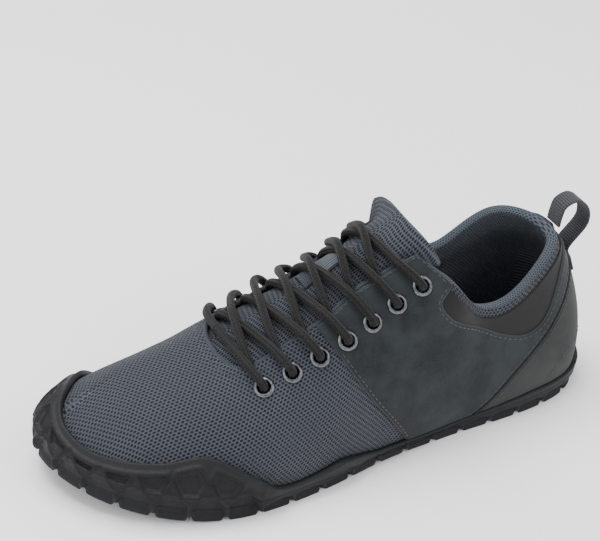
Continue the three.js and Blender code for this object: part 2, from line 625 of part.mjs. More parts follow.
// The lower edge of the collar panel, from the collar's front round to the back.
const PANEL = {
  lateral: [[0.315, 1.15], [0.337, 0.99], [0.352, 0.91], [0.338, 0.83], [0.29, 0.725], [0.225, 0.595], [0.18, 0.548],
    [0.15, 0.57], [0.128, 0.64], [0.108, 0.77], [0.085, 0.9], [0.03, 1.06]],
  medial: [[0.31, 1.15], [0.335, 0.95], [0.352, 0.86], [0.34, 0.79], [0.29, 0.69], [0.225, 0.575], [0.185, 0.575],
    [0.16, 0.66], [0.14, 0.8], [0.12, 0.93], [0.05, 1.06]],
};
const panelLine = (side) => smoothLine(PANEL[side.name].map(([x, z]) => [x * LENGTH, z * HEEL_HEIGHT]), 26);
const shifted = (line, by) => line.map(([x, z], i) => {
  const [a, b] = [line[Math.max(i - 1, 0)], line[Math.min(i + 1, line.length - 1)]];
  const length = Math.hypot(b[0] - a[0], b[1] - a[1]);
  return [x - ((b[1] - a[1]) * by) / length, z + ((b[0] - a[0]) * by) / length];
});
const sideOf = (side) => (side.sign > 0 ? [0, FAR] : [-FAR, 0]);
const largest = (solid) => solid.decompose().sort((a, b) => b.volume() - a.volume())[0];
const panelPlate = (side, grow) => sidePlate(
  [...shifted(panelLine(side), grow), [0, FAR], [0.3 * LENGTH, FAR]], ...sideOf(side));
const counterPlate = (side, grow) => sidePlate(
  [...shifted(pipingLine(side), -grow), [-FAR, 0.9 * HEEL_HEIGHT], [-FAR, -FAR], [0.37 * LENGTH, -FAR]], ...sideOf(side));
function collarPanel(side) {
  return largest(overSole.intersect(panelPlate(side, 0)));
}
function quarter(side) {
  const front = [...seamLine(side), [0.2 * LENGTH, -FAR], [-FAR, -FAR], [-FAR, FAR], [0.7 * LENGTH, FAR]];
  const plate = sidePlate(front, ...sideOf(side));
  return largest(overSole.intersect(plate).subtract(panelPlate(side, CLEARANCE))
    .subtract(counterPlate(side, CLEARANCE)));
}
function heelCounter() {
  const plates = SIDES.map((side) => counterPlate(side, 0).subtract(panelPlate(side, CLEARANCE)));
  return largest(overSole.intersect(plates[0].add(plates[1])));
}

// Tongue: a padded strip under the eyestays. Its lower rows follow the ribs. Higher up its middle rises out
// of the throat while its sides stay under the eyestays, and its top edge stands over the collar.
const TONGUE_LAP = 9;
const TONGUE_FRONT = 9.5;
const TONGUE_LAST_RIB = 6.15;
const TONGUE_HIGH_RIBS = [5.93, 5.7, 5.5];
const TONGUE_LOW_ROWS = 6;
const TONGUE_TOP = { outer: [0.342, 0.231, 0.915], middle: [0.372, -0.02, 1.08], inner: [0.382, -0.25, 1.03] };
const HALF_TONGUE = 4;
const UNDER_EYESTAY = 0.7;
const underWall = -WALL - 3 * CLEARANCE;
function tongueEdge(u, side, t) {
  const lap = TONGUE_LAP / ribAt(u).foot.distanceTo(ribAt(u).top);
  const edge = edgeOf(side.onRib(Math.min(u, RIDGE_START - 0.8)));
  return offsetPoint(side.onRib(u), edge - lap * t, underWall);
}
function tongueRib(u, side, t) {
  const lap = TONGUE_LAP / ribAt(u).foot.distanceTo(ribAt(u).top);
  const edge = edgeOf(side.onRib(Math.min(u, RIDGE_START - 0.8))) - lap;
  return offsetPoint(side.onRib(u), mix(1, edge, t), underWall);
}
const topPoint = ([x, y, z]) => new THREE.Vector3(x * LENGTH, y * BALL_WIDTH, z * INSTEP_HEIGHT);
// A quarter of an ellipse from a middle, where it runs level, to an edge.
function archTo(middle, edge, t) {
  const turn = (t * Math.PI) / 2;
  const fall = 1 - Math.cos(turn);
  return new THREE.Vector3(mix(middle.x, edge.x, fall), mix(middle.y, edge.y, Math.sin(turn)),
    mix(middle.z, edge.z, fall));
}
function tongueLine(pointOn) {
  const halves = SIDES.map((side) => Array.from({ length: HALF_TONGUE + 1 }, (_, i) => pointOn(side, i / HALF_TONGUE)));
  const middle = halves[0][0].clone().add(halves[1][0]).multiplyScalar(0.5);
  return [...halves[0].slice(1).reverse(), middle, ...halves[1].slice(1)];
}
function highTonguePoint(rib, middle, side, t) {
  if (t <= UNDER_EYESTAY) return archTo(middle, tongueEdge(rib, side, 0), t / UNDER_EYESTAY);
  return tongueEdge(rib, side, (t - UNDER_EYESTAY) / (1 - UNDER_EYESTAY));
}
const tongueLines = [];
for (let i = 0; i <= TONGUE_LOW_ROWS; i++) {
  const rib = mix(TONGUE_FRONT, TONGUE_LAST_RIB, i / TONGUE_LOW_ROWS);
  tongueLines.push(tongueLine((side, t) => tongueRib(rib, side, t)));
}
const lastMiddle = tongueLines[TONGUE_LOW_ROWS][HALF_TONGUE].clone();
const topMiddle = topPoint(TONGUE_TOP.middle);
TONGUE_HIGH_RIBS.forEach((rib, i) => {
  const middle = lastMiddle.clone().lerp(topMiddle, (i + 1) / (TONGUE_HIGH_RIBS.length + 1));
  tongueLines.push(tongueLine((side, t) => highTonguePoint(rib, middle, side, t)));
});
tongueLines.push(tongueLine((side, t) => archTo(
  topMiddle, topPoint(side.sign > 0 ? TONGUE_TOP.outer : TONGUE_TOP.inner), t)));
// A point off the tongue's face, at a row from the front and a share t from its middle to a side's edge.
function tongueFace(row, side, t, off) {
  const at = (r, c) => {
    const [r0, c0] = [clamp(Math.floor(r), 0, tongueLines.length - 2), clamp(Math.floor(c), 0, 2 * HALF_TONGUE - 1)];
    const [a, b] = [tongueLines[r0], tongueLines[r0 + 1]].map((line) => line[c0].clone().lerp(line[c0 + 1], c - c0));
    return a.lerp(b, r - r0);
  };
  const column = HALF_TONGUE * (1 - side.sign * t);
  const along = at(row + 0.3, column).sub(at(row - 0.3, column));
  const across = at(row, column + 0.3).sub(at(row, column - 0.3));
  return at(row, column).addScaledVector(along.cross(across).normalize(), off);
}
// The same, where that line along the tongue reaches a place x.
function tongueAt(x, side, t, off) {
  const row = bisect((r) => tongueFace(r, side, t, 0).x < x, 0, tongueLines.length - 1);
  return tongueFace(row, side, t, off);
}
// A closed sheet between the rows of its face and those of its underside.
function sheet(face, under) {
  const rows = face.map((line, i) => [...line, ...[...under[i]].reverse()]);
  const corners = skin(rows, { closed: true, around: false });
  const strips = (row) => {
    const last = row.length - 1;
    return Array.from({ length: row.length / 2 - 1 }, (_, j) => [row[j], row[j + 1], row[last - 1 - j], row[last - j]]);
  };
  for (const [a, b, c, d] of strips(rows[0])) corners.push(a, c, b, a, d, c);
  for (const [a, b, c, d] of strips(rows[rows.length - 1])) corners.push(a, b, c, a, c, d);
  return solidFrom(corners.reverse());
}
function tongue() {
  const lines = tongueLines;
  const under = lines.map((line, i) => line.map((point, j) => {
    const along = lines[Math.min(i + 1, lines.length - 1)][j].clone().sub(lines[Math.max(i - 1, 0)][j]);
    const across = line[Math.min(j + 1, line.length - 1)].clone().sub(line[Math.max(j - 1, 0)]);
    const rim = Math.abs(j / HALF_TONGUE - 1) ** 4;
    return point.clone().addScaledVector(across.cross(along).normalize(), TONGUE * mix(1, 0.5, rim));
  }));
  const keepOut = [0, 3 * CLEARANCE].map((rise) => wallForm(
    (u, v) => lining(u, v) - 2 * CLEARANCE, steady(OVERLAY + 3 * CLEARANCE), rise));
  return largest(sheet(lines, under).subtract(keepOut[0]).subtract(keepOut[1]));
}

// A strap: a flat section swept along a smooth line in the plane of the line's points.
function strap(points, width, thickness, steps) {
  const path = new THREE.CatmullRomCurve3(points);
  const rows = Array.from({ length: steps + 1 }, (_, i) => {
    const t = i / steps;
    const across = new THREE.Vector3(0, width / 2, 0);
    const off = path.getTangentAt(t).cross(across).normalize().multiplyScalar(thickness / 2);
    const at = path.getPointAt(t);
    return [[1, 1], [-1, 1], [-1, -1], [1, -1]].map(
      ([a, b]) => at.clone().addScaledVector(across, a).addScaledVector(off, b));
  });
  const corners = skin(rows, { closed: true, around: false });
  return solidFrom([...corners, ...fan(rows[0], true), ...fan(rows[steps], false)]);
}
const STRAP = { width: 12, thickness: 1.5 };
const LOOP_RISE = 14.5;
const LOOP_FOOT = 0.7;
// Pull loop: from the back of the upper up over the collar, as shares of its rise from the collar's top.
function pullLoop() {
  const stand = 3 * CLEARANCE + OVERLAY + STRAP.thickness / 2;
  const foot = [LOOP_FOOT - 0.1, LOOP_FOOT, LOOP_FOOT + 0.08].map((v) => offsetPoint(0, v, stand));
  const top = ribAt(0).top;
  const turns = [[-1.45, -0.05], [-1.35, 0.6], [-0.85, 1], [-0.35, 0.85], [-0.2, 0.45]];
  const free = turns.map(([x, z]) => new THREE.Vector3(top.x + x * LOOP_RISE, 0, top.z + z * LOOP_RISE));
  const end = new THREE.Vector3(top.x - 0.15 * LOOP_RISE, 0, top.z + 2 * CLEARANCE);
  return strap([...foot, ...free, end], STRAP.width, STRAP.thickness, 16);
}
// Lace keeper: a short piece of webbing lying on the tongue, under a crossing of the laces.
const KEEPER = { from: 0.517, to: 0.478, side: 0.1, width: 11.5, thickness: 1.2 };
const KEEPER_STAND = 2 * CLEARANCE;
function tongueLoop() {
  const side = SIDES[1];
  const places = [0, 0.5, 1].map((t) => mix(KEEPER.from, KEEPER.to, t) * LENGTH);
  const lineAt = (x, off) => {
    const middle = tongueAt(x, side, KEEPER.side, 0);
    const share = bisect((t) => tongueAt(x, side, t, 0).distanceTo(middle) > KEEPER.width / 2, KEEPER.side, 1);
    return [-1, 0, 1].map((k) => tongueAt(x, side, mix(KEEPER.side, share, k), off));
  };
  return sheet(places.map((x) => lineAt(x, KEEPER_STAND + KEEPER.thickness)), places.map((x) => lineAt(x, KEEPER_STAND)));
}

// Laces: round cords. A strand leaves from under one eyestay's edge, crosses the tongue and goes over the
// other edge to the next eyelet.
const CORD_SIDES = 6;
function cord(points, steps) {
  const round = new THREE.Shape();
  for (let i = 0; i < CORD_SIDES; i++) {
    const turn = (2 * Math.PI * i) / CORD_SIDES;
    const corner = [(LACE / 2) * Math.cos(turn), (LACE / 2) * Math.sin(turn)];
    if (i === 0) round.moveTo(...corner);
    else round.lineTo(...corner);
  }
  const path = new THREE.CatmullRomCurve3(points);
  return solidOfGeometry(new THREE.ExtrudeGeometry(round, { steps, extrudePath: path }));
}
const overEyestay = (k) => standOf(k) + EYELET_LIP + 3 * CLEARANCE + LACE / 2;
const OVER_TONGUE = LACE / 2 + 3 * CLEARANCE;
const OVER_KEEPER = OVER_TONGUE + KEEPER.thickness + 4 * CLEARANCE;
// The rib whose top on the throat's edge lies at a place x, no nearer to the tab's corner than this.
const LACE_FROM_TAB = 0.15;
function ribOnEdge(side, x) {
  const corner = (side.sign > 0 ? TAB_OUTER : TAB_INNER) + LACE_FROM_TAB;
  const rib = bisect((u) => surfaceAt(side.onRib(u), edgeOf(side.onRib(u))).x > x, corner, RIDGE_START - 0.3);
  return side.onRib(rib);
}
const eyeletX = (side, k) => surfaceAt(side.eyelets[k].u, side.eyelets[k].v).x;
// A strand meets the throat's edge a little behind its eyelet.
const LACE_LEAN = 2;
// From the hole of an eyelet to just over the throat's edge beside it.
function laceIn(side, k) {
  const place = side.eyelets[k];
  const rib = ribOnEdge(side, eyeletX(side, k) - LACE_LEAN);
  const edge = edgeOf(rib);
  const lift = overEyestay(Math.min(k + 1, EYELETS - 1));
  const near = offsetPoint(mix(place.u, rib, 0.5), mix(place.v, edge, 0.5), lift + CLEARANCE);
  return [offsetPoint(place.u, place.v, lift), near, offsetPoint(rib, edge, lift)];
}
// Where a strand comes out from under the throat's edge, a share of the way on to the next eyelet.
const LACE_LEAVES = 0.45;
function laceOut(side, k) {
  const u = ribOnEdge(side, mix(eyeletX(side, k), eyeletX(side, k + 1), LACE_LEAVES) - LACE_LEAN);
  const edge = surfaceAt(u, edgeOf(u));
  const limit = side.sign * edge.y - LACE / 2 - 3 * CLEARANCE;
  const share = bisect((t) => side.sign * tongueAt(edge.x, side, t, OVER_TONGUE).y > limit, 0, 1);
  return tongueAt(edge.x, side, share, OVER_TONGUE);
}
function crossing(k) {
  const leaves = SIDES.map((side) => laceOut(side, k));
  const enters = SIDES.map((side) => laceIn(side, k + 1));
  const x = (leaves[0].x + leaves[1].x + enters[0][2].x + enters[1][2].x) / 4;
  const strands = [0, 1].map((i) => {
    const [end, near, edge] = enters[1 - i];
    const middle = tongueAt(x, SIDES[0], 0, OVER_KEEPER + (i ? 0.7 * LACE : 0));
    return cord([leaves[i], middle, edge, near, end], 8);
  });
  return strands[0].add(strands[1]);
}
function laceBar() {
  const [outer, inner] = SIDES.map((side) => laceIn(side, 0));
  const middle = tongueAt((outer[2].x + inner[2].x) / 2, SIDES[0], 0, OVER_TONGUE + LACE / 2);
  return cord([...outer, middle, ...inner.reverse()], 10);
}

const finish = (color, roughness, metalness = 0) => new THREE.MeshStandardMaterial({ color, roughness, metalness });
const RUBBER = finish('#3a3a3d', 0.75);
const FOAM = finish('#30343a', 0.9);
const MESH_CLOTH = finish('#5b626e', 0.95);
const SUEDE = finish('#454b4b', 0.95);
const SMOOTH_LEATHER = finish('#3f3d3e', 0.6);
const WEBBING = finish('#76797e', 0.9);
const DARK_WEBBING = finish('#4c4e52', 0.9);
const CORD = finish('#2c2624', 0.85);
const NICKEL = finish('#a9abad', 0.35, 1);

const shoe = new THREE.Group();
shoe.add(meshOf('outsole', outsole(), RUBBER));
shoe.add(meshOf('insole', insole(), FOAM));
shoe.add(meshOf('upper', wallForm(lining, steady(0)).subtract(holes), MESH_CLOTH));
for (const side of SIDES) {
  shoe.add(meshOf(`quarter_${side.name}`, quarter(side), SUEDE));
  shoe.add(meshOf(`collar_panel_${side.name}`, collarPanel(side), SMOOTH_LEATHER));
  side.eyelets.forEach((place, k) => shoe.add(meshOf(`eyelet_${side.name}_${k + 1}`, eyelet(place, k), NICKEL)));
}
shoe.add(meshOf('heel_counter', heelCounter(), SUEDE));
shoe.add(meshOf('tongue', tongue(), MESH_CLOTH));
shoe.add(meshOf('tongue_loop', tongueLoop(), WEBBING));
shoe.add(meshOf('pull_loop', pullLoop(), DARK_WEBBING));
shoe.add(meshOf('lace_bar', laceBar(), CORD));
for (let k = 0; k < EYELETS - 1; k++) shoe.add(meshOf(`lace_cross_${k + 1}`, crossing(k), CORD));
shoe.position.set(-HEEL_CENTRE, 0, 0);

export default shoe;
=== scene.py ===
# Barefoot shoe for the left foot: knitted mesh vamp, nubuck quarters, rubber sole with a toe rand.
# The shoe's own sizes are in millimetres and become metres where a mesh is made.
# +X runs to the toe, +Y to the outer side of the foot, +Z up.
import math

import bmesh
import bpy
import numpy as np
from mathutils import Matrix, Vector


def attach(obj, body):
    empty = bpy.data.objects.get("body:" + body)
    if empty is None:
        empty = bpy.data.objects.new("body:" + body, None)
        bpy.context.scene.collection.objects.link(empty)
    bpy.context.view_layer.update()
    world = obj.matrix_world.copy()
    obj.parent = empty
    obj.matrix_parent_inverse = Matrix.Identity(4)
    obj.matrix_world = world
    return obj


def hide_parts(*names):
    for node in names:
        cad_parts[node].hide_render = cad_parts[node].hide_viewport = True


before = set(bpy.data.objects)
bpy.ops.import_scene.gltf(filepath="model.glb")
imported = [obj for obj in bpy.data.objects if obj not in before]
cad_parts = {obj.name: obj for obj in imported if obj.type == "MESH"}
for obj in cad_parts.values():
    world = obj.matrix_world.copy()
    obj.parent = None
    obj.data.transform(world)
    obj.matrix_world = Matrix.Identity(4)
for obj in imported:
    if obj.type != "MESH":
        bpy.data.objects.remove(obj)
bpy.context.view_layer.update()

MM = 0.001

# Driving sizes, the same as the solids'
LENGTH = 290.0
BALL_WIDTH = 106.0
HEEL_WIDTH = 74.0
HEEL_HEIGHT = 86.0
INSTEP_HEIGHT = 102.0
TOE_SPRING = 13.0
ARCH_RISE = 1.4
WALL = 2.2
COLLAR_PAD = 3.6
CLEARANCE = 0.3
OVERLAY = 1.2
RAND = 2.2
SOLE_FLARE = 3.2
TREAD = 2.4
INSOLE = 4.0
TONGUE = 6.0
THROAT_GAP = 44.0
LACE = 4.2
EYELET_BORE = 5.4
EYELET_FLANGE = 10.0
EYELETS = 7
VAMP_EYELETS = 3
LUG_PITCH = 18.0
LUG_GAP = 3.0
HEEL_CENTRE = 36.0

# Ribs of the last, from the sole's edge to the collar or the ridge. A row for each, from the heel to the
# toe; x are shares of LENGTH, y of the width and z of the height at that row.
RIB_COLUMNS = ["fore", "outerX", "outerY", "innerX", "innerY", "topX", "topOuterY", "topInnerY",
               "topOuterZ", "topInnerZ", "rise", "flare", "swell", "drop", "crest", "pitch", "seat"]
RIB_ROWS = np.array([
    [0.00, 0.016, 0.000, 0.016, 0.000, 0.076, 0.000, 0.000, 1.000, 1.000, 0.38, 0.16, 0.28, 0.30, 0.0, 0.00, 9.0],
    [0.00, 0.038, 0.257, 0.038, -0.243, 0.093, 0.196, -0.189, 0.988, 1.012, 0.38, 0.15, 0.22, 0.30, 0.0, 0.00, 9.0],
    [0.00, 0.100, 0.399, 0.100, -0.378, 0.145, 0.331, -0.338, 0.895, 1.000, 0.38, 0.13, 0.12, 0.30, 0.0, 0.00, 9.0],
    [0.00, 0.193, 0.459, 0.193, -0.412, 0.210, 0.385, -0.385, 0.767, 0.866, 0.38, 0.12, 0.06, 0.30, 0.0, 0.00, 8.2],
    [0.10, 0.297, 0.460, 0.297, -0.376, 0.276, 0.395, -0.382, 0.793, 0.805, 0.36, 0.14, 0.08, 0.30, 0.0, 0.00, 6.2],
    [0.40, 0.400, 0.449, 0.400, -0.334, 0.341, 0.340, -0.334, 0.969, 0.985, 0.36, 0.16, 0.16, 0.26, 0.3, -0.40, 4.8],
    [0.75, 0.503, 0.454, 0.503, -0.342, 0.434, -0.020, -0.020, 1.041, 1.041, 0.36, 0.18, 0.50, 0.00, 1.0, -0.52, 5.6],
    [1.00, 0.607, 0.472, 0.607, -0.396, 0.524, -0.038, -0.038, 0.853, 0.853, 0.37, 0.18, 0.52, 0.00, 1.0, -0.56, 7.6],
    [1.00, 0.707, 0.495, 0.707, -0.443, 0.614, -0.057, -0.057, 0.706, 0.706, 0.38, 0.16, 0.50, 0.00, 1.0, -0.52, 8.5],
    [1.00, 0.800, 0.458, 0.810, -0.434, 0.703, -0.085, -0.085, 0.574, 0.574, 0.38, 0.14, 0.44, 0.00, 1.0, -0.42, 8.5],
    [1.00, 0.886, 0.344, 0.903, -0.387, 0.779, -0.123, -0.123, 0.485, 0.485, 0.40, 0.12, 0.42, 0.00, 1.0, -0.34, 8.5],
    [1.00, 0.952, 0.160, 0.962, -0.278, 0.831, -0.151, -0.151, 0.436, 0.436, 0.42, 0.12, 0.44, 0.00, 1.0, -0.32, 8.5],
    [1.00, 0.986, -0.085, 0.986, -0.085, 0.862, -0.160, -0.160, 0.407, 0.407, 0.45, 0.12, 0.48, 0.00, 1.0, -0.31, 8.5],
])
RIB = dict(zip(RIB_COLUMNS, RIB_ROWS.T))
TOE = len(RIB_ROWS) - 1
ROUND = 2 * TOE


def mix(a, b, t):
    return a + (b - a) * t


def smooth(x, low, high):
    t = np.clip((x - low) / (high - low), 0, 1)
    return t * t * (3 - 2 * t)


def unit(v):
    return v / np.maximum(np.linalg.norm(v, axis=-1, keepdims=True), 1e-9)


def floor_at(x):
    """Height of the sole's floor side: toe spring and a slight arch."""
    toe = np.clip((x / LENGTH - 0.7) / 0.3, 0, 1)
    arch = np.clip((x / LENGTH - 0.33) / 0.25, 0, 1)
    return TOE_SPRING * toe ** 1.8 + ARCH_RISE * np.sin(np.pi * arch) ** 2


def closed_spline(outer, inner):
    """Control values of a closed cubic B-spline through a column: outer side to the toe, inner side back."""
    through = np.concatenate([outer, inner[1:-1][::-1]])
    control = through.copy()
    for _ in range(60):
        for i in range(len(control)):
            control[i] = (6 * through[i] - control[i - 1] - control[(i + 1) % len(control)]) / 4
    return control


WIDTHS = mix(HEEL_WIDTH, BALL_WIDTH, RIB["fore"])
HEIGHTS = mix(HEEL_HEIGHT, INSTEP_HEIGHT, RIB["fore"])
SPLINES = {
    "x": closed_spline(RIB["outerX"] * LENGTH, RIB["innerX"] * LENGTH),
    "y": closed_spline(RIB["outerY"] * WIDTHS, RIB["innerY"] * WIDTHS),
    "topX": closed_spline(RIB["topX"] * LENGTH, RIB["topX"] * LENGTH),
    "topY": closed_spline(RIB["topOuterY"] * WIDTHS, RIB["topInnerY"] * WIDTHS),
    "topZ": closed_spline(RIB["topOuterZ"] * HEIGHTS, RIB["topInnerZ"] * HEIGHTS),
}
for _name in ("rise", "flare", "swell", "drop", "crest", "pitch", "seat"):
    SPLINES[_name] = closed_spline(RIB[_name], RIB[_name])


def spline_at(name, u):
    control = SPLINES[name]
    u = np.mod(u, ROUND)
    k = np.floor(u).astype(int)
    f = u - k
    weights = [(1 - f) ** 3, 3 * f ** 3 - 6 * f ** 2 + 4, -3 * f ** 3 + 3 * f ** 2 + 3 * f + 1, f ** 3]
    return sum(w * control[(k + j - 1) % ROUND] for j, w in enumerate(weights)) / 6


def rib_at(u):
    """The four Bezier points of the ribs at u, and the way out of the shoe at their feet."""
    u = np.asarray(u, float)
    step = 0.01
    dx = spline_at("x", u + step) - spline_at("x", u - step)
    dy = spline_at("y", u + step) - spline_at("y", u - step)
    out = unit(np.stack([-dy, dx, np.zeros_like(dx)], -1))
    x = spline_at("x", u)
    foot = np.stack([x, spline_at("y", u), spline_at("seat", u) + floor_at(x)], -1)
    top = np.stack([spline_at("topX", u), spline_at("topY", u), spline_at("topZ", u)], -1)
    height = top[..., 2] - foot[..., 2]
    rise = spline_at("rise", u) * height
    low = foot + out * (spline_at("flare", u) * rise)[..., None]
    low[..., 2] += rise
    span = foot - top
    span[..., 2] = 0
    reach = spline_at("swell", u) * np.maximum(np.linalg.norm(span, axis=-1), height / 2)
    side = unit(span + out * 8)
    crest = spline_at("crest", u)
    fall = (1 - crest) * spline_at("drop", u) * height - crest * spline_at("pitch", u) * side[..., 0] * reach
    high = top + side * reach[..., None]
    high[..., 2] -= fall
    return foot, low, high, top, out


def surface_at(u, v):
    u, v = np.broadcast_arrays(np.asarray(u, float), np.asarray(v, float))
    foot, low, high, top, _ = rib_at(u)
    v = v[..., None]
    w = 1 - v
    return foot * w ** 3 + low * 3 * v * w * w + high * 3 * v * v * w + top * v ** 3


def normal_at(u, v):
    step = 0.002
    across = surface_at(u + step, v) - surface_at(u - step, v)
    up = surface_at(u, np.minimum(v + step, 1)) - surface_at(u, np.maximum(v - step, 0))
    return unit(np.cross(up, across))


THROAT = {"front": 0.708, "round": 0.053, "middle": -0.019, "narrow": 0.86, "from": 0.47, "to": 0.55}


def inside_throat(p):
    t = p[..., 0] / LENGTH
    end = np.clip((t - THROAT["front"] + THROAT["round"]) / THROAT["round"], 0, 1)
    share = mix(THROAT["narrow"], 1, smooth(t, THROAT["from"], THROAT["to"])) * (1 - end ** 2.3) ** 0.435
    near = np.abs(p[..., 1] - THROAT["middle"] * BALL_WIDTH) < share * THROAT_GAP / 2
    return near & (t < THROAT["front"])


def bisect(test, low, high, rounds=30):
    """Where an array test turns true between two arrays."""
    a, b = np.array(low, float), np.array(high, float)
    for _ in range(rounds):
        middle = (a + b) / 2
        hit = test(middle)
        b = np.where(hit, middle, b)
        a = np.where(hit, a, middle)
    return (a + b) / 2


def top_inside(u):
    return inside_throat(rib_at(u)[3])


RIDGE_START = float(bisect(lambda u: ~top_inside(u), 8, 11))
TAB_OUTER = float(bisect(top_inside, 5, 6))
TAB_INNER = float(bisect(lambda u: top_inside(ROUND - u), 5, 6))


def on_ridge(u):
    return (u > RIDGE_START - 1e-6) & (u < ROUND - RIDGE_START + 1e-6)


def edge_of(u):
    """How far up each rib the upper reaches: 1, or where the rib meets the throat's edge."""
    u = np.mod(np.asarray(u, float), ROUND)
    side = np.where(u > TOE, ROUND - u, u)
    corner = np.where(u > TOE, TAB_INNER, TAB_OUTER)
    whole = (side <= corner) | on_ridge(u)
    steps = np.linspace(0.4, 1, 61)
    hits = inside_throat(surface_at(u[..., None], steps))
    first = np.where(hits.any(-1), hits.argmax(-1), 60)
    high = steps[first]
    edge = bisect(lambda v: inside_throat(surface_at(u, v)), high - 0.01, high)
    return np.where(whole, 1.0, edge)


def offset_at(u, v, distance):
    u, v, distance = np.broadcast_arrays(*(np.asarray(a, float) for a in (u, v, distance)))
    point, normal = surface_at(u, v), normal_at(u, v)
    shared = ((v > 1 - 1e-9) & on_ridge(u))[..., None]
    point = np.where(shared, (point + surface_at(ROUND - u, v)) / 2, point)
    normal = np.where(shared, unit(normal + normal_at(ROUND - u, v)), normal)
    return point + normal * distance[..., None]


SPINE_INSET = 12


def spine_at(u, lift):
    foot, _, _, _, out = rib_at(u)
    mate, _, _, _, mate_out = rib_at(ROUND - u)
    point = (foot - out * SPINE_INSET + mate - mate_out * SPINE_INSET) / 2
    point[..., 2] = lift + floor_at(point[..., 0])
    return point


def curve_through(rows):
    """A smooth function through rows of place and value."""
    rows = np.array(rows, float)
    xs, ys = rows.T
    slopes = np.empty(len(xs))
    for i in range(len(xs)):
        a, b = max(i - 1, 0), min(i + 1, len(xs) - 1)
        slopes[i] = (ys[b] - ys[a]) / (xs[b] - xs[a])

    def at(x):
        i = np.clip(np.searchsorted(xs, x, side="right") - 1, 0, len(xs) - 2)
        width = xs[i + 1] - xs[i]
        t = np.clip((x - xs[i]) / width, 0, 1)
        value = (2 * t ** 3 - 3 * t ** 2 + 1) * ys[i] + (3 * t ** 2 - 2 * t ** 3) * ys[i + 1]
        return value + ((t ** 3 - 2 * t ** 2 + t) * slopes[i] + (t ** 3 - t ** 2) * slopes[i + 1]) * width
    return at


RAND_TOP = curve_through([
    [0, 0.06], [1.1, 0.045], [1.5, 0.025], [2.6, 0.035], [3.4, 0.02], [5.6, 0.02], [6.1, 0.05], [6.45, 0.07],
    [6.8, 0.05], [7.25, 0.03], [7.6, 0.045], [7.95, 0.13], [8.6, 0.28], [9.0, 0.33], [9.6, 0.3], [10.4, 0.28],
    [11, 0.29], [11.5, 0.37], [12.1, 0.51], [12.7, 0.54], [13.4, 0.46], [13.9, 0.38], [14.4, 0.23], [14.8, 0.08],
    [15.2, 0.035], [17.6, 0.02], [21, 0.02], [22.5, 0.03], [23, 0.045], [24, 0.06]])

# Eyelet places, spread evenly along a line of outer and inner u and v
EYELET_LINE = np.array([
    [7.96, 0.58, 7.84, 0.555],
    [7.2, 0.58, 7.1, 0.545],
    [6.55, 0.56, 6.42, 0.535],
    [6.06, 0.57, 5.94, 0.55],
    [5.66, 0.645, 5.56, 0.625],
    [5.32, 0.81, 5.25, 0.79],
])


def catmull_rom(points, steps):
    """Evenly numbered points of a centripetal Catmull-Rom curve through points."""
    points = np.array(points, float)
    padded = np.concatenate([[2 * points[0] - points[1]], points, [2 * points[-1] - points[-2]]])
    out = []
    for t in np.linspace(0, len(points) - 1, steps + 1):
        i = min(int(t), len(points) - 2)
        p0, p1, p2, p3 = padded[i:i + 4]
        knots = [0.0]
        for a, b in ((p0, p1), (p1, p2), (p2, p3)):
            knots.append(knots[-1] + max(np.linalg.norm(b - a), 1e-6) ** 0.5)
        t0, t1, t2, t3 = knots
        s = mix(t1, t2, t - i)
        a1 = (t1 - s) / (t1 - t0) * p0 + (s - t0) / (t1 - t0) * p1
        a2 = (t2 - s) / (t2 - t1) * p1 + (s - t1) / (t2 - t1) * p2
        a3 = (t3 - s) / (t3 - t2) * p2 + (s - t2) / (t3 - t2) * p3
        b1 = (t2 - s) / (t2 - t0) * a1 + (s - t0) / (t2 - t0) * a2
        b2 = (t3 - s) / (t3 - t1) * a2 + (s - t1) / (t3 - t1) * a3
        out.append((t2 - s) / (t2 - t1) * b1 + (s - t1) / (t2 - t1) * b2)
    return np.array(out)


def along(points):
    """Length along a line at each of its points."""
    return np.concatenate([[0], np.cumsum(np.linalg.norm(np.diff(points, axis=0), axis=-1))])


def resample(points, count):
    points = np.asarray(points, float)
    length = along(points)
    goal = np.linspace(0, length[-1], count)
    return np.stack([np.interp(goal, length, points[:, k]) for k in range(points.shape[1])], -1)


def eyelet_places(columns, on_rib):
    track = catmull_rom(EYELET_LINE[:, columns], 60)
    track[:, 0] = on_rib(track[:, 0])
    length = along(surface_at(track[:, 0], track[:, 1]))
    goal = np.linspace(0, length[-1], EYELETS)
    return np.stack([np.interp(goal, length, track[:, 0]), np.interp(goal, length, track[:, 1])], -1)


class Side:
    """One side of the shoe: its sign in y, its ribs and its eyelets."""

    def __init__(self, name, sign, columns):
        self.name = name
        self.sign = sign
        self.eyelets = eyelet_places(columns, self.on_rib)

    def on_rib(self, u):
        return u if self.sign > 0 else ROUND - u


LATERAL = Side("lateral", 1, [0, 1])
MEDIAL = Side("medial", -1, [2, 3])
SIDES = [LATERAL, MEDIAL]


# Meshes
def to_frame(points):
    """Shoe millimetres to the frame's metres."""
    return (np.asarray(points, float) - [HEEL_CENTRE, 0, 0]) * MM


def add_mesh(name, points, faces, uv=None, values=None, slots=None):
    """A smooth mesh from points in millimetres. uv and values hold a row for each point."""
    mesh = bpy.data.meshes.new(name)
    mesh.from_pydata(to_frame(points).tolist(), [], [tuple(f) for f in faces])
    loops = np.empty(len(mesh.loops), int)
    mesh.loops.foreach_get("vertex_index", loops)
    if uv is not None:
        layer = mesh.uv_layers.new(name="cloth")
        layer.data.foreach_set("uv", np.asarray(uv, float)[loops].ravel())
    for key, value in (values or {}).items():
        mesh.attributes.new(key, "FLOAT", "POINT").data.foreach_set("value", np.asarray(value, float))
    if slots is not None:
        mesh.polygons.foreach_set("material_index", np.asarray(slots, int))
    mesh.shade_smooth()
    mesh.update()
    obj = bpy.data.objects.new(name, mesh)
    bpy.context.collection.objects.link(obj)
    return obj


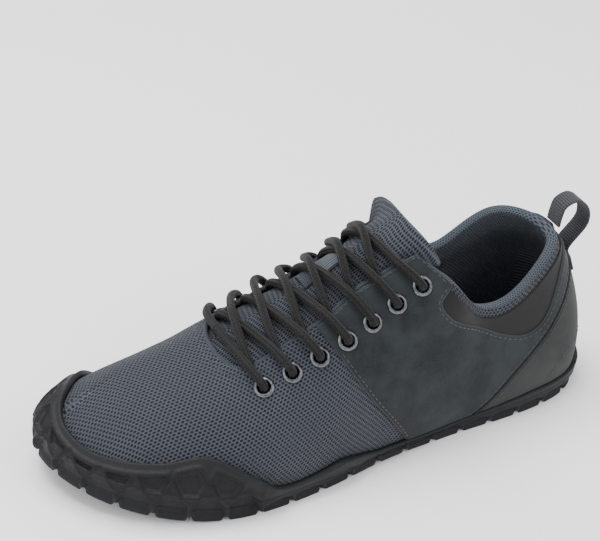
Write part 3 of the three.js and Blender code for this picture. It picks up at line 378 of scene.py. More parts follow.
def weld(obj, distance=2e-5):
    """Joins points that lie on each other and turns the faces outward."""
    work = bmesh.new()
    work.from_mesh(obj.data)
    bmesh.ops.remove_doubles(work, verts=work.verts, dist=distance)
    bmesh.ops.dissolve_degenerate(work, dist=1e-7, edges=work.edges)
    bmesh.ops.recalc_face_normals(work, faces=work.faces)
    work.to_mesh(obj.data)
    work.free()
    obj.data.shade_smooth()
    return obj


def grid_faces(columns, rows, wrap_columns=False, wrap_rows=False, skip=None):
    """Quads of a grid whose point (i, j) has number i * rows + j."""
    i = np.arange(columns if wrap_columns else columns - 1)
    j = np.arange(rows if wrap_rows else rows - 1)
    i, j = np.meshgrid(i, j, indexing="ij")
    if skip is not None:
        keep = ~skip[i, j]
        i, j = i[keep], j[keep]
    i, j = i.ravel(), j.ravel()
    k, m = (i + 1) % columns, (j + 1) % rows
    return np.stack([i * rows + j, k * rows + j, k * rows + m, i * rows + m], -1)


def capped_faces(columns, rows):
    """Faces of a tube of rings, with a face over each end."""
    ring = list(range(rows))
    last = (columns - 1) * rows
    return grid_faces(columns, rows, wrap_rows=True).tolist() + [ring[::-1], [last + k for k in ring]]


def folded_faces(columns, rows):
    """Faces of a flat tube, whose rings are a top row and an underside row back, closed at both ends."""
    faces = grid_faces(columns, rows, wrap_rows=True).tolist()
    last = (columns - 1) * rows
    for k in range(rows // 2 - 1):
        faces.append([k, k + 1, rows - 2 - k, rows - 1 - k])
        faces.append([last + k, last + rows - 1 - k, last + rows - 2 - k, last + k + 1])
    return faces


def grid_length(points, axis):
    """Length along each line of a grid of points, at each of its points."""
    steps = np.linalg.norm(np.diff(points, axis=axis), axis=-1)
    start = np.zeros_like(np.take(steps, [0], axis=axis))
    return np.cumsum(np.concatenate([start, steps], axis=axis), axis=axis)


def dress(obj, material, slot, *nodes):
    """Gives a piece its material, lets it ride on the shoe, and hides the solids that it stands for."""
    if not isinstance(material, (list, tuple)):
        material = [material]
    for m in material:
        obj.data.materials.append(m)
    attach(obj, "root")
    if nodes:
        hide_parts(*nodes)
    return obj


# Marching over a grid of ribs: clipping a region and finding a line
class Patch:
    """A fine grid over part of the upper, with fields over it that clip pieces and place lines."""

    def __init__(self, us, rows):
        self.us = us
        edge = edge_of(us)
        self.v = edge[:, None] * np.linspace(0, 1, rows)[None, :]
        self.u = np.broadcast_to(us[:, None], self.v.shape)
        self.point = surface_at(self.u, self.v)
        self.normal = normal_at(self.u, self.v)
        self.rib = np.stack([self.u, self.v], -1)

    def true_distance(self, field):
        """A field whose slope over the surface is made one near its zero line."""
        du = np.gradient(self.point, axis=0)
        dv = np.gradient(self.point, axis=1)
        fu, fv = np.gradient(field)
        guu, gvv, guv = (du * du).sum(-1), (dv * dv).sum(-1), (du * dv).sum(-1)
        det = np.maximum(guu * gvv - guv * guv, 1e-9)
        slope = (gvv * fu * fu - 2 * guv * fu * fv + guu * fv * fv) / det
        return field / np.sqrt(np.maximum(slope, 0.05))

    def clip(self, field, extras):
        """The part of the grid where field is over zero: points as [u, v], faces, and the extras there."""
        packed = np.concatenate([self.rib, np.stack(extras, -1)], -1)
        field = np.where(np.abs(field) < 0.02, 0.02, field)
        inside = field > 0
        whole = inside[:-1, :-1] & inside[1:, :-1] & inside[1:, 1:] & inside[:-1, 1:]
        some = inside[:-1, :-1] | inside[1:, :-1] | inside[1:, 1:] | inside[:-1, 1:]
        numbers, rows_out, faces = {}, [], []

        def corner(key):
            if key not in numbers:
                numbers[key] = len(rows_out)
                rows_out.append(packed[key])
            return numbers[key]

        def between(a, b):
            key = (a, b) if a < b else (b, a)
            if key not in numbers:
                a, b = key
                t = field[a] / (field[a] - field[b])
                numbers[key] = len(rows_out)
                rows_out.append(mix(packed[a], packed[b], t))
            return numbers[key]

        for i, j in zip(*np.nonzero(some)):
            ring = [(i, j), (i + 1, j), (i + 1, j + 1), (i, j + 1)]
            if whole[i, j]:
                faces.append([corner(k) for k in ring])
                continue
            face = []
            for a, b in zip(ring, ring[1:] + ring[:1]):
                if inside[a]:
                    face.append(corner(a))
                if inside[a] != inside[b]:
                    face.append(between(a, b))
            if len(face) > 2:
                faces.append(face)
        return np.array(rows_out), faces

    def line(self, field, keep=None):
        """The longest line where field is zero, as rows of [u, v]."""
        cuts = {}
        field = np.where(np.abs(field) < 1e-4, 1e-4, field)

        def cut(a, b):
            key = (a, b) if a < b else (b, a)
            if key not in cuts:
                a, b = key
                cuts[key] = mix(self.rib[a], self.rib[b], field[a] / (field[a] - field[b]))
            return key
        links = {}
        sign = field > 0
        mixed = (sign[:-1, :-1] != sign[1:, :-1]) | (sign[:-1, :-1] != sign[:-1, 1:]) | \
                (sign[:-1, :-1] != sign[1:, 1:])
        for i, j in zip(*np.nonzero(mixed)):
            ring = [(i, j), (i + 1, j), (i + 1, j + 1), (i, j + 1)]
            if keep is not None and not keep[i, j]:
                continue
            hits = [cut(a, b) for a, b in zip(ring, ring[1:] + ring[:1]) if sign[a] != sign[b]]
            for a, b in zip(hits[::2], hits[1::2]):
                links.setdefault(a, []).append(b)
                links.setdefault(b, []).append(a)
        best, seen = [], set()
        for start in sorted(links, key=lambda k: len(links[k])):
            if start in seen:
                continue
            chain, here = [start], start
            seen.add(start)
            while True:
                onward = [k for k in links[here] if k not in seen]
                if not onward:
                    break
                here = onward[0]
                seen.add(here)
                chain.append(here)
            if len(chain) > len(best):
                best = chain
        return np.array([cuts[k] for k in best])


# Shader groups, each used by several materials
class Tree:
    """Adds nodes to a shader tree and wires them."""

    def __init__(self, tree):
        self.tree = tree

    def node(self, kind, **settings):
        made = self.tree.nodes.new(kind)
        for key, value in settings.items():
            setattr(made, key, value)
        return made

    def plug(self, socket, value):
        if isinstance(value, bpy.types.NodeSocket):
            self.tree.links.new(value, socket)
        elif value is not None:
            socket.default_value = value

    def math(self, operation, *values, clamp=False):
        made = self.node("ShaderNodeMath", operation=operation, use_clamp=clamp)
        for socket, value in zip(made.inputs, values):
            self.plug(socket, value)
        return made.outputs[0]

    def fade(self, value, low, high, out_low=0.0, out_high=1.0):
        made = self.node("ShaderNodeMapRange", interpolation_type="SMOOTHSTEP")
        for socket, item in zip(made.inputs, (value, low, high, out_low, out_high)):
            self.plug(socket, item)
        return made.outputs[0]

    def blend(self, factor, a, b):
        made = self.node("ShaderNodeMix", data_type="RGBA")
        self.plug(made.inputs["Factor"], factor)
        self.plug(made.inputs[6], a)
        self.plug(made.inputs[7], b)
        return made.outputs[2]

    def noise(self, vector, scale, detail=3.0, roughness=0.55):
        made = self.node("ShaderNodeTexNoise")
        self.plug(made.inputs["Vector"], vector)
        self.plug(made.inputs["Scale"], scale)
        made.inputs["Detail"].default_value = detail
        made.inputs["Roughness"].default_value = roughness
        return made.outputs["Fac"]

    def attribute(self, name):
        return self.node("ShaderNodeAttribute", attribute_name=name).outputs["Fac"]

    def group(self, tree, **inputs):
        made = self.node("ShaderNodeGroup", node_tree=tree)
        for key, value in inputs.items():
            self.plug(made.inputs[key.replace("_", " ")], value)
        return made.outputs


def effect(name, inputs, outputs, build):
    """A shader group with float and vector inputs and float outputs."""
    tree = bpy.data.node_groups.new(name, "ShaderNodeTree")
    for key, value in inputs.items():
        kind = "NodeSocketVector" if value is None else "NodeSocketFloat"
        socket = tree.interface.new_socket(key, in_out="INPUT", socket_type=kind)
        if value is not None:
            socket.default_value = value
    for key in outputs:
        tree.interface.new_socket(key, in_out="OUTPUT", socket_type="NodeSocketFloat")
    work = Tree(tree)
    start, end = work.node("NodeGroupInput"), work.node("NodeGroupOutput")
    for key, value in build(work, start.outputs).items():
        work.plug(end.inputs[key], value)
    return tree


def build_knit(t, given):
    """Rows of small holes, each row half a pitch on from the last, with yarn standing between them."""
    parts = t.node("ShaderNodeSeparateXYZ")
    t.plug(parts.inputs[0], given["Cloth"])
    across = t.math("DIVIDE", parts.outputs[1], given["Row"])
    row = t.math("FLOOR", across)
    shift = t.math("MULTIPLY", t.math("PINGPONG", row, 1.0), 0.5)
    lengthwise = t.math("ADD", t.math("DIVIDE", parts.outputs[0], given["Pitch"]), shift)
    x = t.math("SUBTRACT", t.math("FRACT", lengthwise), 0.5)
    y = t.math("MULTIPLY", t.math("SUBTRACT", t.math("FRACT", across), 0.5), 0.9)
    far = t.math("SQRT", t.math("ADD", t.math("MULTIPLY", x, x), t.math("MULTIPLY", y, y)))
    hole = t.fade(far, t.math("MULTIPLY", given["Hole"], 0.72), t.math("MULTIPLY", given["Hole"], 1.2), 1.0, 0.0)
    yarn = t.math("SINE", t.math("MULTIPLY", t.math("ADD", lengthwise, t.math("MULTIPLY", across, 2.5)), 18.85))
    relief = t.math("ADD", t.fade(far, 0.1, 0.55), t.math("MULTIPLY", yarn, 0.09))
    return {"Holes": hole, "Relief": relief}


def build_nap(t, given):
    """Brushed leather: soft clouds where the nap lies another way, and a fine grain."""
    clouds = t.noise(given["Place"], 34.0, 3.0, 0.6)
    streaks = t.noise(given["Place"], 120.0, 4.0, 0.62)
    cloud = t.fade(t.math("ADD", t.math("MULTIPLY", clouds, 0.7), t.math("MULTIPLY", streaks, 0.3)), 0.36, 0.64)
    grain = t.noise(given["Place"], 1500.0, 2.0, 0.7)
    return {"Cloud": cloud, "Grain": grain}


def build_ribs(t, given):
    """Webbing: ribs that run across the strap, crossed by fine yarns."""
    parts = t.node("ShaderNodeSeparateXYZ")
    t.plug(parts.inputs[0], given["Cloth"])
    rib = t.math("SINE", t.math("DIVIDE", t.math("MULTIPLY", parts.outputs[0], 6.283), given["Pitch"]))
    yarn = t.math("SINE", t.math("MULTIPLY", parts.outputs[1], 9.0))
    relief = t.math("ADD", t.math("MULTIPLY", rib, 0.45), t.math("MULTIPLY", yarn, 0.12))
    # Groove marks the valleys between the ribs, where the webbing's colour gets painted shade.
    return {"Relief": relief, "Groove": t.fade(rib, -0.9, -0.1, 1.0, 0.0)}


def build_braid(t, given):
    """A round braid: two sets of yarns that wind round the cord both ways, over a few straight ribs."""
    parts = t.node("ShaderNodeSeparateXYZ")
    t.plug(parts.inputs[0], given["Cloth"])
    turn = t.math("MULTIPLY", parts.outputs[1], 6.283)
    run = t.math("DIVIDE", t.math("MULTIPLY", parts.outputs[0], 6.283), given["Lay"])
    one = t.math("SINE", t.math("ADD", run, t.math("MULTIPLY", turn, 6.0)))
    other = t.math("SINE", t.math("SUBTRACT", run, t.math("MULTIPLY", turn, 6.0)))
    ribs = t.math("COSINE", t.math("MULTIPLY", turn, 6.0))
    weave = t.math("MAXIMUM", one, other)
    relief = t.math("ADD", t.math("MULTIPLY", weave, 0.3), t.math("MULTIPLY", ribs, 0.7))
    # Gaps marks the low places between the yarns, where the cord's colour gets painted shade.
    return {"Relief": relief, "Gaps": t.fade(relief, -0.7, 0.1, 1.0, 0.0)}


def build_moulded(t, given):
    """Moulded rubber: a faint mould grain, and scuffs that are a little lighter."""
    grain = t.noise(given["Place"], 900.0, 2.0, 0.6)
    wide = t.noise(given["Place"], 45.0, 3.0, 0.6)
    scuffs = t.math("MULTIPLY", t.fade(t.noise(given["Place"], 260.0, 4.0, 0.7), 0.55, 0.75), wide)
    return {"Grain": grain, "Scuffs": scuffs, "Wide": wide}


KNIT = effect("knitted holes", {"Cloth": None, "Pitch": 2.0, "Row": 1.0, "Hole": 0.3}, ["Holes", "Relief"],
              build_knit)
NAP = effect("brushed nap", {"Place": None}, ["Cloud", "Grain"], build_nap)
RIBBED = effect("webbing ribs", {"Cloth": None, "Pitch": 1.3}, ["Relief", "Groove"], build_ribs)
BRAID = effect("round braid", {"Cloth": None, "Lay": 3.0}, ["Relief", "Gaps"], build_braid)
MOULDED = effect("moulded rubber", {"Place": None}, ["Grain", "Scuffs", "Wide"], build_moulded)


def material(name, roughness, build, **sockets):
    """A Principled material. build gives its colour, and may give a relief with its depth in metres."""
    made = bpy.data.materials.new(name)
    made.use_nodes = True
    made.node_tree.nodes.clear()
    t = Tree(made.node_tree)
    shader, out = t.node("ShaderNodeBsdfPrincipled"), t.node("ShaderNodeOutputMaterial")
    t.tree.links.new(shader.outputs[0], out.inputs[0])
    shader.inputs["Roughness"].default_value = roughness
    for key, value in sockets.items():
        shader.inputs[key.replace("_", " ")].default_value = value
    given = build(t)
    t.plug(shader.inputs["Base Color"], given["color"])
    if "roughness" in given:
        t.plug(shader.inputs["Roughness"], given["roughness"])
    normal = None
    for relief, depth in given.get("reliefs", []):
        bump = t.node("ShaderNodeBump")
        bump.inputs["Distance"].default_value = depth
        t.plug(bump.inputs["Height"], relief)
        if normal is not None:
            t.plug(bump.inputs["Normal"], normal)
        normal = bump.outputs[0]
    if normal is not None:
        t.plug(shader.inputs["Normal"], normal)
    return made


def cloth_place(t):
    return t.node("ShaderNodeUVMap", uv_map="cloth").outputs[0]


def object_place(t):
    return t.node("ShaderNodeTexCoord").outputs["Object"]


def rgb(r, g, b):
    """A colour given as it looks, 0 to 255, in the linear values that shaders take."""
    return (*[((c / 255) / 12.92 if c <= 10 else ((c / 255 + 0.055) / 1.055) ** 2.4) for c in (r, g, b)], 1.0)


def knitted(name, light, dark, hole_shade, pitch, row, hole, depth, roughness=0.85):
    def build(t):
        knit = t.group(KNIT, Cloth=cloth_place(t), Pitch=pitch, Row=row, Hole=hole)
        wide = t.noise(object_place(t), 22.0, 2.0)
        # Painted shade: the yarn is darker toward each hole, following the knit's relief, over a tone that differs at
        # random. The holes are painted near-black as the shade inside them.
        tone = t.math("ADD", knit["Relief"], t.math("MULTIPLY", wide, 0.5))
        cloth = t.blend(t.fade(tone, 0.4, 1.35), dark, light)
        return {"color": t.blend(knit["Holes"], cloth, hole_shade), "reliefs": [(knit["Relief"], depth)]}
    return material(name, roughness, build, Sheen_Weight=0.1, Sheen_Roughness=0.5, Specular_IOR_Level=0.15)


def brushed_leather(name, deep, pale):
    def build(t):
        nap = t.group(NAP, Place=object_place(t))
        body = t.blend(nap["Cloud"], deep, pale)
        speck = t.fade(nap["Grain"], 0.35, 0.7)
        body = t.blend(t.math("MULTIPLY", speck, 0.45), body, pale)
        cut = t.fade(t.attribute("edge"), 0.15, 0.9, 0.55, 0.0)
        color = t.blend(cut, body, rgb(58, 63, 65))
        return {"color": color, "reliefs": [(nap["Grain"], 0.00012)]}
    return material(name, 0.9, build, Sheen_Weight=0.12, Sheen_Roughness=0.5, Specular_IOR_Level=0.1)


def smooth_leather(name, tone):
    def build(t):
        place = object_place(t)
        grain = t.noise(place, 1800.0, 2.0)
        wide = t.noise(place, 40.0, 2.0)
        color = t.blend(t.math("MULTIPLY", wide, 0.35), tone, rgb(30, 29, 31))
        return {"color": color, "roughness": t.fade(grain, 0.2, 0.8, 0.42, 0.58), "reliefs": [(grain, 0.00005)]}
    return material(name, 0.5, build, Specular_IOR_Level=0.22)


def moulded_rubber(name, tone, pale):
    def build(t):
        form = t.group(MOULDED, Place=object_place(t))
        body = t.blend(t.math("MULTIPLY", form["Wide"], 0.45), tone, pale)
        body = t.blend(t.math("MULTIPLY", form["Scuffs"], 0.35), body, pale)
        # Painted shade: the groove attribute darkens the rubber almost to black in the grooves between the sole's
        # blocks.
        body = t.blend(t.fade(t.attribute("groove"), 0.1, 0.9, 0.0, 0.75), body, rgb(13, 13, 15))
        # Painted highlight: the crest attribute lightens the rounded rims of the sole's blocks.
        body = t.blend(t.math("MULTIPLY", t.attribute("crest"), 0.35), body, rgb(52, 52, 57))
        return {"color": body, "roughness": t.fade(form["Grain"], 0.2, 0.8, 0.5, 0.68),
                "reliefs": [(form["Grain"], 0.00008)]}
    return material(name, 0.6, build, Specular_IOR_Level=0.22)


def webbing(name, tone, dark, pitch):
    def build(t):
        ribs = t.group(RIBBED, Cloth=cloth_place(t), Pitch=pitch)
        # Painted shade: the grooves between the ribs are darker.
        color = t.blend(ribs["Groove"], tone, dark)
        return {"color": color, "reliefs": [(ribs["Relief"], 0.0003)]}
    return material(name, 0.85, build, Sheen_Weight=0.1, Specular_IOR_Level=0.15)


def braided(name, tone, dark):
    def build(t):
        braid = t.group(BRAID, Cloth=cloth_place(t), Lay=2.0)
        fuzz = t.noise(object_place(t), 700.0, 2.0)
        body = t.blend(t.fade(fuzz, 0.35, 0.7), tone, rgb(25, 23, 23))
        # Painted shade: the gaps between the braid's yarns are darker.
        return {"color": t.blend(braid["Gaps"], body, dark), "reliefs": [(braid["Relief"], 0.00035)]}
    return material(name, 0.75, build, Sheen_Weight=0.05, Specular_IOR_Level=0.25)


def nickel(name):
    def build(t):
        place = object_place(t)
        wear = t.noise(place, 900.0, 3.0)
        color = t.blend(t.fade(wear, 0.35, 0.7), rgb(86, 88, 92), rgb(112, 114, 118))
        return {"color": color, "roughness": t.fade(wear, 0.3, 0.7, 0.24, 0.42)}
    return material(name, 0.3, build, Metallic=1.0)


def thread(name, tone):
    def build(t):
        twist = t.noise(object_place(t), 1600.0, 2.0)
        return {"color": t.blend(twist, tone, rgb(48, 52, 54)), "reliefs": [(twist, 0.0001)]}
    return material(name, 0.75, build, Sheen_Weight=0.2)


def studio_floor(name):
    def build(t):
        tone = t.noise(object_place(t), 3.0, 2.0)
        return {"color": t.blend(tone, (0.93, 0.93, 0.93, 1), (0.95, 0.95, 0.95, 1))}
    return material(name, 0.75, build)


# The knits' light colours are the tops of the yarn. Their dark colours are the painted shade beside the holes, mixed
# with a random tone. Their hole colours are the painted shade inside the holes.
MESH_CLOTH = knitted("vamp mesh", rgb(72, 77, 88), rgb(38, 41, 50), rgb(7, 8, 13), 2.3, 1.5, 0.31, 0.0007)
TONGUE_CLOTH = knitted("tongue mesh", rgb(76, 81, 92), rgb(40, 44, 53), rgb(7, 8, 13), 2.3, 1.5, 0.31, 0.0007)
LINING = knitted("collar lining", rgb(76, 84, 93), rgb(48, 54, 62), rgb(18, 21, 28), 1.5, 1.05, 0.24, 0.0004)
NUBUCK = brushed_leather("nubuck", rgb(26, 29, 31), rgb(44, 48, 50))
# Painted light: the counter's nubuck is a lighter copy of the quarters' nubuck, for the light that falls on the heel.
LIT_COUNTER_NUBUCK = brushed_leather("counter nubuck", rgb(34, 37, 37), rgb(49, 52, 51))
COLLAR_LEATHER = smooth_leather("collar leather", rgb(15, 14, 16))
RUBBER = moulded_rubber("sole rubber", rgb(21, 21, 24), rgb(33, 33, 37))
# The webbings' dark colours are painted shade in the grooves between their ribs.
LOOP_WEBBING = webbing("pull loop webbing", rgb(62, 63, 68), rgb(34, 34, 38), 1.25)
KEEPER_WEBBING = webbing("keeper webbing", rgb(82, 88, 94), rgb(48, 53, 58), 1.05)
EDGE_TAPE = webbing("edge tape", rgb(56, 61, 70), rgb(36, 40, 48), 0.9)
# The cord's dark colour is painted shade in the gaps of the braid.
CORD = braided("lace cord", rgb(15, 14, 14), rgb(4, 4, 4))
NICKEL = nickel("eyelet nickel")
THREAD = thread("thread", rgb(32, 35, 37))
PIPING_CORD = smooth_leather("piping", rgb(16, 17, 18))
SOCK_CLOTH = knitted("insole cloth", rgb(50, 54, 60), rgb(32, 35, 40), rgb(14, 15, 18), 1.4, 1.0, 0.2, 0.0002)
FLOOR = studio_floor("pale floor")


# Creases: soft troughs, and ridges where the depth is negative. Start, end, half width and depth.
CREASES = [
    [(206, 34, 38), (210, 10, 56), 5.0, 0.5],
    [(214, -2, 52), (212, -30, 42), 5.5, 0.45],
    [(196, 44, 24), (190, 50, 14), 6.0, 0.4],
    [(232, 20, 42), (238, -8, 44), 8.0, -0.3],
    [(116, 46, 54), (134, 52, 30), 7.0, 0.55],
    [(104, 44, 60), (98, 46, 34), 6.0, 0.4],
    [(150, 46, 46), (160, 53, 22), 8.0, -0.35],
    [(128, -38, 60), (140, -44, 30), 7.0, 0.5],
    [(60, 38, 40), (72, 40, 20), 8.0, 0.35],
    [(60, -36, 42), (78, -36, 22), 8.0, 0.35],
]


def crease(point):
    """How far the creases move a point of the upper along its normal."""
    total = np.zeros(point.shape[:-1])
    for start, end, width, depth in CREASES:
        start, line = np.array(start, float), np.array(end, float) - start
        t = np.clip(((point - start) @ line) / (line @ line), 0, 1)
        far = np.linalg.norm(point - start - t[..., None] * line, axis=-1)
        total -= depth * np.exp(-(far / width) ** 2)
    return total


def on_upper(u, v, off):
    """A point over the creased upper."""
    base = surface_at(u, v)
    return offset_at(u, v, np.asarray(off, float) + crease(base))


# The cloth's own coordinates: along the shoe, and down the cross-section from the ridge
CLOTH_X = np.linspace(0, LENGTH, 146)
CLOTH_V = np.linspace(0, 1, 61)


def cloth_table(side):
    """Length of the cross-sections from the ridge, for each x and each share of a rib."""
    us = np.linspace(0, TOE, 200)
    front = surface_at(TOE, np.linspace(1, 0, 200))
    middle = np.stack([np.interp(CLOTH_X, front[:, 0], front[:, k]) for k in (1, 2)], -1)
    table = np.empty((len(CLOTH_X), len(CLOTH_V), 2))
    for j, v in enumerate(CLOTH_V):
        line = surface_at(side.on_rib(us), v)
        for k in (0, 1):
            table[:, j, k] = np.interp(CLOTH_X, line[:, 0], line[:, k + 1])
        beyond = CLOTH_X > line[:, 0].max()
        table[beyond, j] = middle[beyond]
    steps = np.linalg.norm(np.diff(table[:, ::-1], axis=1), axis=-1)
    return np.concatenate([np.zeros((len(CLOTH_X), 1)), np.cumsum(steps, axis=1)], axis=1)[:, ::-1]


def length_table():
    """Length along the ridge and on down the front of the toe, for each x."""
    ridge = surface_at(np.linspace(0, TOE, 100), 1)
    front = surface_at(TOE, np.linspace(1, 0, 60))
    line = np.concatenate([ridge, front[1:]])[:, [0, 2]]
    line = line[np.concatenate([[True], np.diff(np.maximum.accumulate(line[:, 0])) > 0.01])]
    return np.interp(CLOTH_X, line[:, 0], along(line))


CLOTH = {side.sign: cloth_table(side) for side in SIDES}
CLOTH_LENGTH = length_table()


def cloth_at(u, v):
    u, v = np.broadcast_arrays(np.mod(np.asarray(u, float), ROUND), np.asarray(v, float))
    x = surface_at(u, v)[..., 0]
    i = np.clip(x / CLOTH_X[1], 0, len(CLOTH_X) - 1.001)
    j = np.clip(v / CLOTH_V[1], 0, len(CLOTH_V) - 1.001)
    i0, j0 = i.astype(int), j.astype(int)
    fi, fj = i - i0, j - j0
    both = []
    for sign in (1, -1):
        t = CLOTH[sign]
        both.append(mix(mix(t[i0, j0], t[i0 + 1, j0], fi), mix(t[i0, j0 + 1], t[i0 + 1, j0 + 1], fi), fj))
    return np.stack([np.interp(x, CLOTH_X, CLOTH_LENGTH), np.where(u > TOE, -both[1], both[0])], -1)


FAR = 400.0


def axis_distance(point, side, k):
    """Distance of points from the axis of an eyelet."""
    u, v = side.eyelets[k]
    centre, normal = surface_at(u, v), normal_at(u, v)
    far = point - centre
    deep = far @ normal
    distance = np.linalg.norm(far - deep[..., None] * normal, axis=-1)
    return np.where(np.abs(deep) < EYELET_FLANGE, distance, FAR)


def nearest_eyelet(point):
    return np.min([axis_distance(point, side, k) for side in SIDES for k in range(EYELETS)], axis=0)


def columns_of_side(count):
    """Places of ribs from the heel to the toe, closer at the tab and with one on each corner."""
    marks = [TAB_OUTER, TAB_INNER, RIDGE_START]
    even = np.linspace(0, TOE, count)
    near = [m + d for m in marks for d in (-0.05, -0.025, 0.025, 0.05)]
    places = np.sort(np.concatenate([even, marks, near]))
    return places[np.concatenate([[True], np.diff(places) > 0.004])]


# The upper: one hollow wall, thicker at the padded collar, with a rounded rim and the eyelets' holes
HOLE_RADIUS = 3.6
# Steps to the four neighbours of a face, with the two corners that it shares with each
HOLE_SIDES = [(-1, 0, (0, 0), (0, 1)), (1, 0, (1, 0), (1, 1)), (0, -1, (0, 0), (1, 0)), (0, 1, (0, 1), (1, 1))]
RIM_ROWS = 7
RIM_RISE = 0.7
RIM_HALF = 1.6
WALL_ROWS = 44
WALL_COLUMNS = 260
LINING_CLOTH = 300


def collar_pad(u, v):
    side = np.where(u > TOE, ROUND - u, u)
    return COLLAR_PAD * smooth(v, 0.62, 0.9) * (1 - smooth(side, 4.5, 5.3))


def build_upper():
    half = columns_of_side(WALL_COLUMNS)
    us = np.concatenate([half, ROUND - half[1:-1][::-1]])
    edge = edge_of(us)
    v = edge[:, None] * np.linspace(0, 1, WALL_ROWS)
    u = np.broadcast_to(us[:, None], v.shape)
    pad = collar_pad(u, v)
    outer = on_upper(u, v, 0)
    inner = on_upper(u, v, -WALL - pad)
    normal = normal_at(us, edge)
    up = unit(surface_at(us, edge) - surface_at(us, edge - 0.02))
    thick = WALL + pad[:, -1:]
    phi = np.linspace(0, np.pi, RIM_ROWS + 2)[None, 1:-1]
    out = -thick / 2 + thick / 2 * np.cos(phi)
    rise = RIM_RISE * np.sin(phi) * np.minimum(thick / 2, RIM_HALF)
    rim = outer[:, -1:] + normal[:, None] * out[..., None] + up[:, None] * rise[..., None]
    points = np.concatenate([outer, rim, inner[:, ::-1]], axis=1)
    rows = points.shape[1]
    columns = len(us)
    cloth = cloth_at(u, v)
    rim_cloth = cloth[:, -1:] + np.stack([0 * rise, np.sign(cloth[:, -1:, 1]) * -np.linspace(1, 6, RIM_ROWS)], -1)
    uv = np.concatenate([cloth, rim_cloth, cloth[:, ::-1] + [0, LINING_CLOTH]], axis=1)
    middle = (surface_at(u[:-1, :-1], v[:-1, :-1]) + surface_at(u[1:, 1:], v[1:, 1:])) / 2
    hole = np.zeros((columns, rows), bool)
    hole[:-1, :WALL_ROWS - 1] = nearest_eyelet(middle) < HOLE_RADIUS
    walls = []
    last = rows - 1
    for i, j in zip(*np.nonzero(hole)):
        hole[i, last - 1 - j] = True
        for di, dj, a, b in HOLE_SIDES:
            if hole[i + di, j + dj]:
                continue
            one = (i + a[0]) * rows + j + a[1]
            two = (i + b[0]) * rows + j + b[1]
            walls.append((one, two, (i + b[0]) * rows + last - j - b[1], (i + a[0]) * rows + last - j - a[1]))
    ridge = on_ridge(us) & on_ridge(np.roll(us, -1))
    hole[ridge, WALL_ROWS - 1:rows - WALL_ROWS] = True
    faces = np.concatenate([grid_faces(columns, rows, wrap_columns=True, skip=hole),
                            bottom_faces(columns, rows), np.array(walls)])
    row_of = faces[:, :4] % rows
    lining = row_of.min(axis=1) >= WALL_ROWS - 1
    obj = add_mesh("upper_mesh", points.reshape(-1, 3), faces, uv.reshape(-1, 2), slots=lining.astype(int))
    weld(obj)
    return dress(obj, [MESH_CLOTH, LINING], "mesh_cloth", "upper")


def bottom_faces(columns, rows):
    """Faces under the wall, from the outer foot to the inner one."""
    i = np.arange(columns)
    k = (i + 1) % columns
    return np.stack([i * rows, i * rows + rows - 1, k * rows + rows - 1, k * rows], -1)


# Outlines in the side view
SEAM = [[0.06, 0.25], [0.02, 0.09], [0, 0], [-0.029, -0.135], [-0.062, -0.28], [-0.095, -0.405], [-0.15, -0.64]]
PIPING = {
    1: [[0.37, -0.03], [0.262, 0.115], [0.187, 0.335], [0.128, 0.51], [0.09, 0.66], [0.07, 0.76], [0.04, 0.88]],
    -1: [[0.42, -0.03], [0.335, 0.16], [0.25, 0.27], [0.195, 0.41], [0.145, 0.62], [0.105, 0.78], [0.06, 0.9]],
}
PANEL = {
    1: [[0.315, 1.15], [0.337, 0.99], [0.352, 0.91], [0.338, 0.83], [0.29, 0.725], [0.225, 0.595], [0.18, 0.548],
        [0.15, 0.57], [0.128, 0.64], [0.108, 0.77], [0.085, 0.9], [0.03, 1.06]],
    -1: [[0.31, 1.15], [0.335, 0.95], [0.352, 0.86], [0.34, 0.79], [0.29, 0.69], [0.225, 0.575], [0.185, 0.575],
         [0.16, 0.66], [0.14, 0.8], [0.12, 0.93], [0.05, 1.06]],
}
# The second dotted line on the counter, x and z
COUNTER_LINE = {
    1: [[0.03, 0.36], [0.071, 0.325], [0.107, 0.22], [0.14, 0.09], [0.16, -0.05]],
    -1: [[0.03, 0.36], [0.08, 0.33], [0.13, 0.24], [0.18, 0.11], [0.21, -0.05]],
}


def outline(rows, width, height, origin=(0, 0), steps=90):
    rows = np.array(rows) * [width, height] + origin
    return catmull_rom(rows, steps)


def seam_line(side):
    a, b = [surface_at(*side.eyelets[k]) for k in (VAMP_EYELETS - 1, VAMP_EYELETS)]
    middle = (a + b) / 2
    return outline(SEAM, LENGTH, INSTEP_HEIGHT, (middle[0], middle[2]))


def behind_corners():
    """Corners that close the seam's outline round all that lies behind it."""
    return [[0.2 * LENGTH, -FAR], [-FAR, -FAR], [-FAR, FAR], [0.7 * LENGTH, FAR]]


def polyline_distance(x, z, line):
    best = np.full(x.shape, 1e9)
    for (ax, az), (bx, bz) in zip(line[:-1], line[1:]):
        dx, dz = bx - ax, bz - az
        t = np.clip(((x - ax) * dx + (z - az) * dz) / max(dx * dx + dz * dz, 1e-9), 0, 1)
        best = np.minimum(best, (x - ax - t * dx) ** 2 + (z - az - t * dz) ** 2)
    return np.sqrt(best)


def polygon_holds(x, z, polygon):
    hit = np.zeros(x.shape, bool)
    for (ax, az), (bx, bz) in zip(polygon, np.roll(polygon, -1, axis=0)):
        if az == bz:
            continue
        hit ^= ((az > z) != (bz > z)) & (x < ax + (z - az) * (bx - ax) / (bz - az))
    return hit


def signed(patch, line, beyond):
    """Distance over the surface from a line of the side view, over zero inside the outline closed by beyond."""
    x, z = patch.point[..., 0], patch.point[..., 2]
    inside = polygon_holds(x, z, np.concatenate([line, beyond]))
    return patch.true_distance(polyline_distance(x, z, line) * np.where(inside, 1, -1))


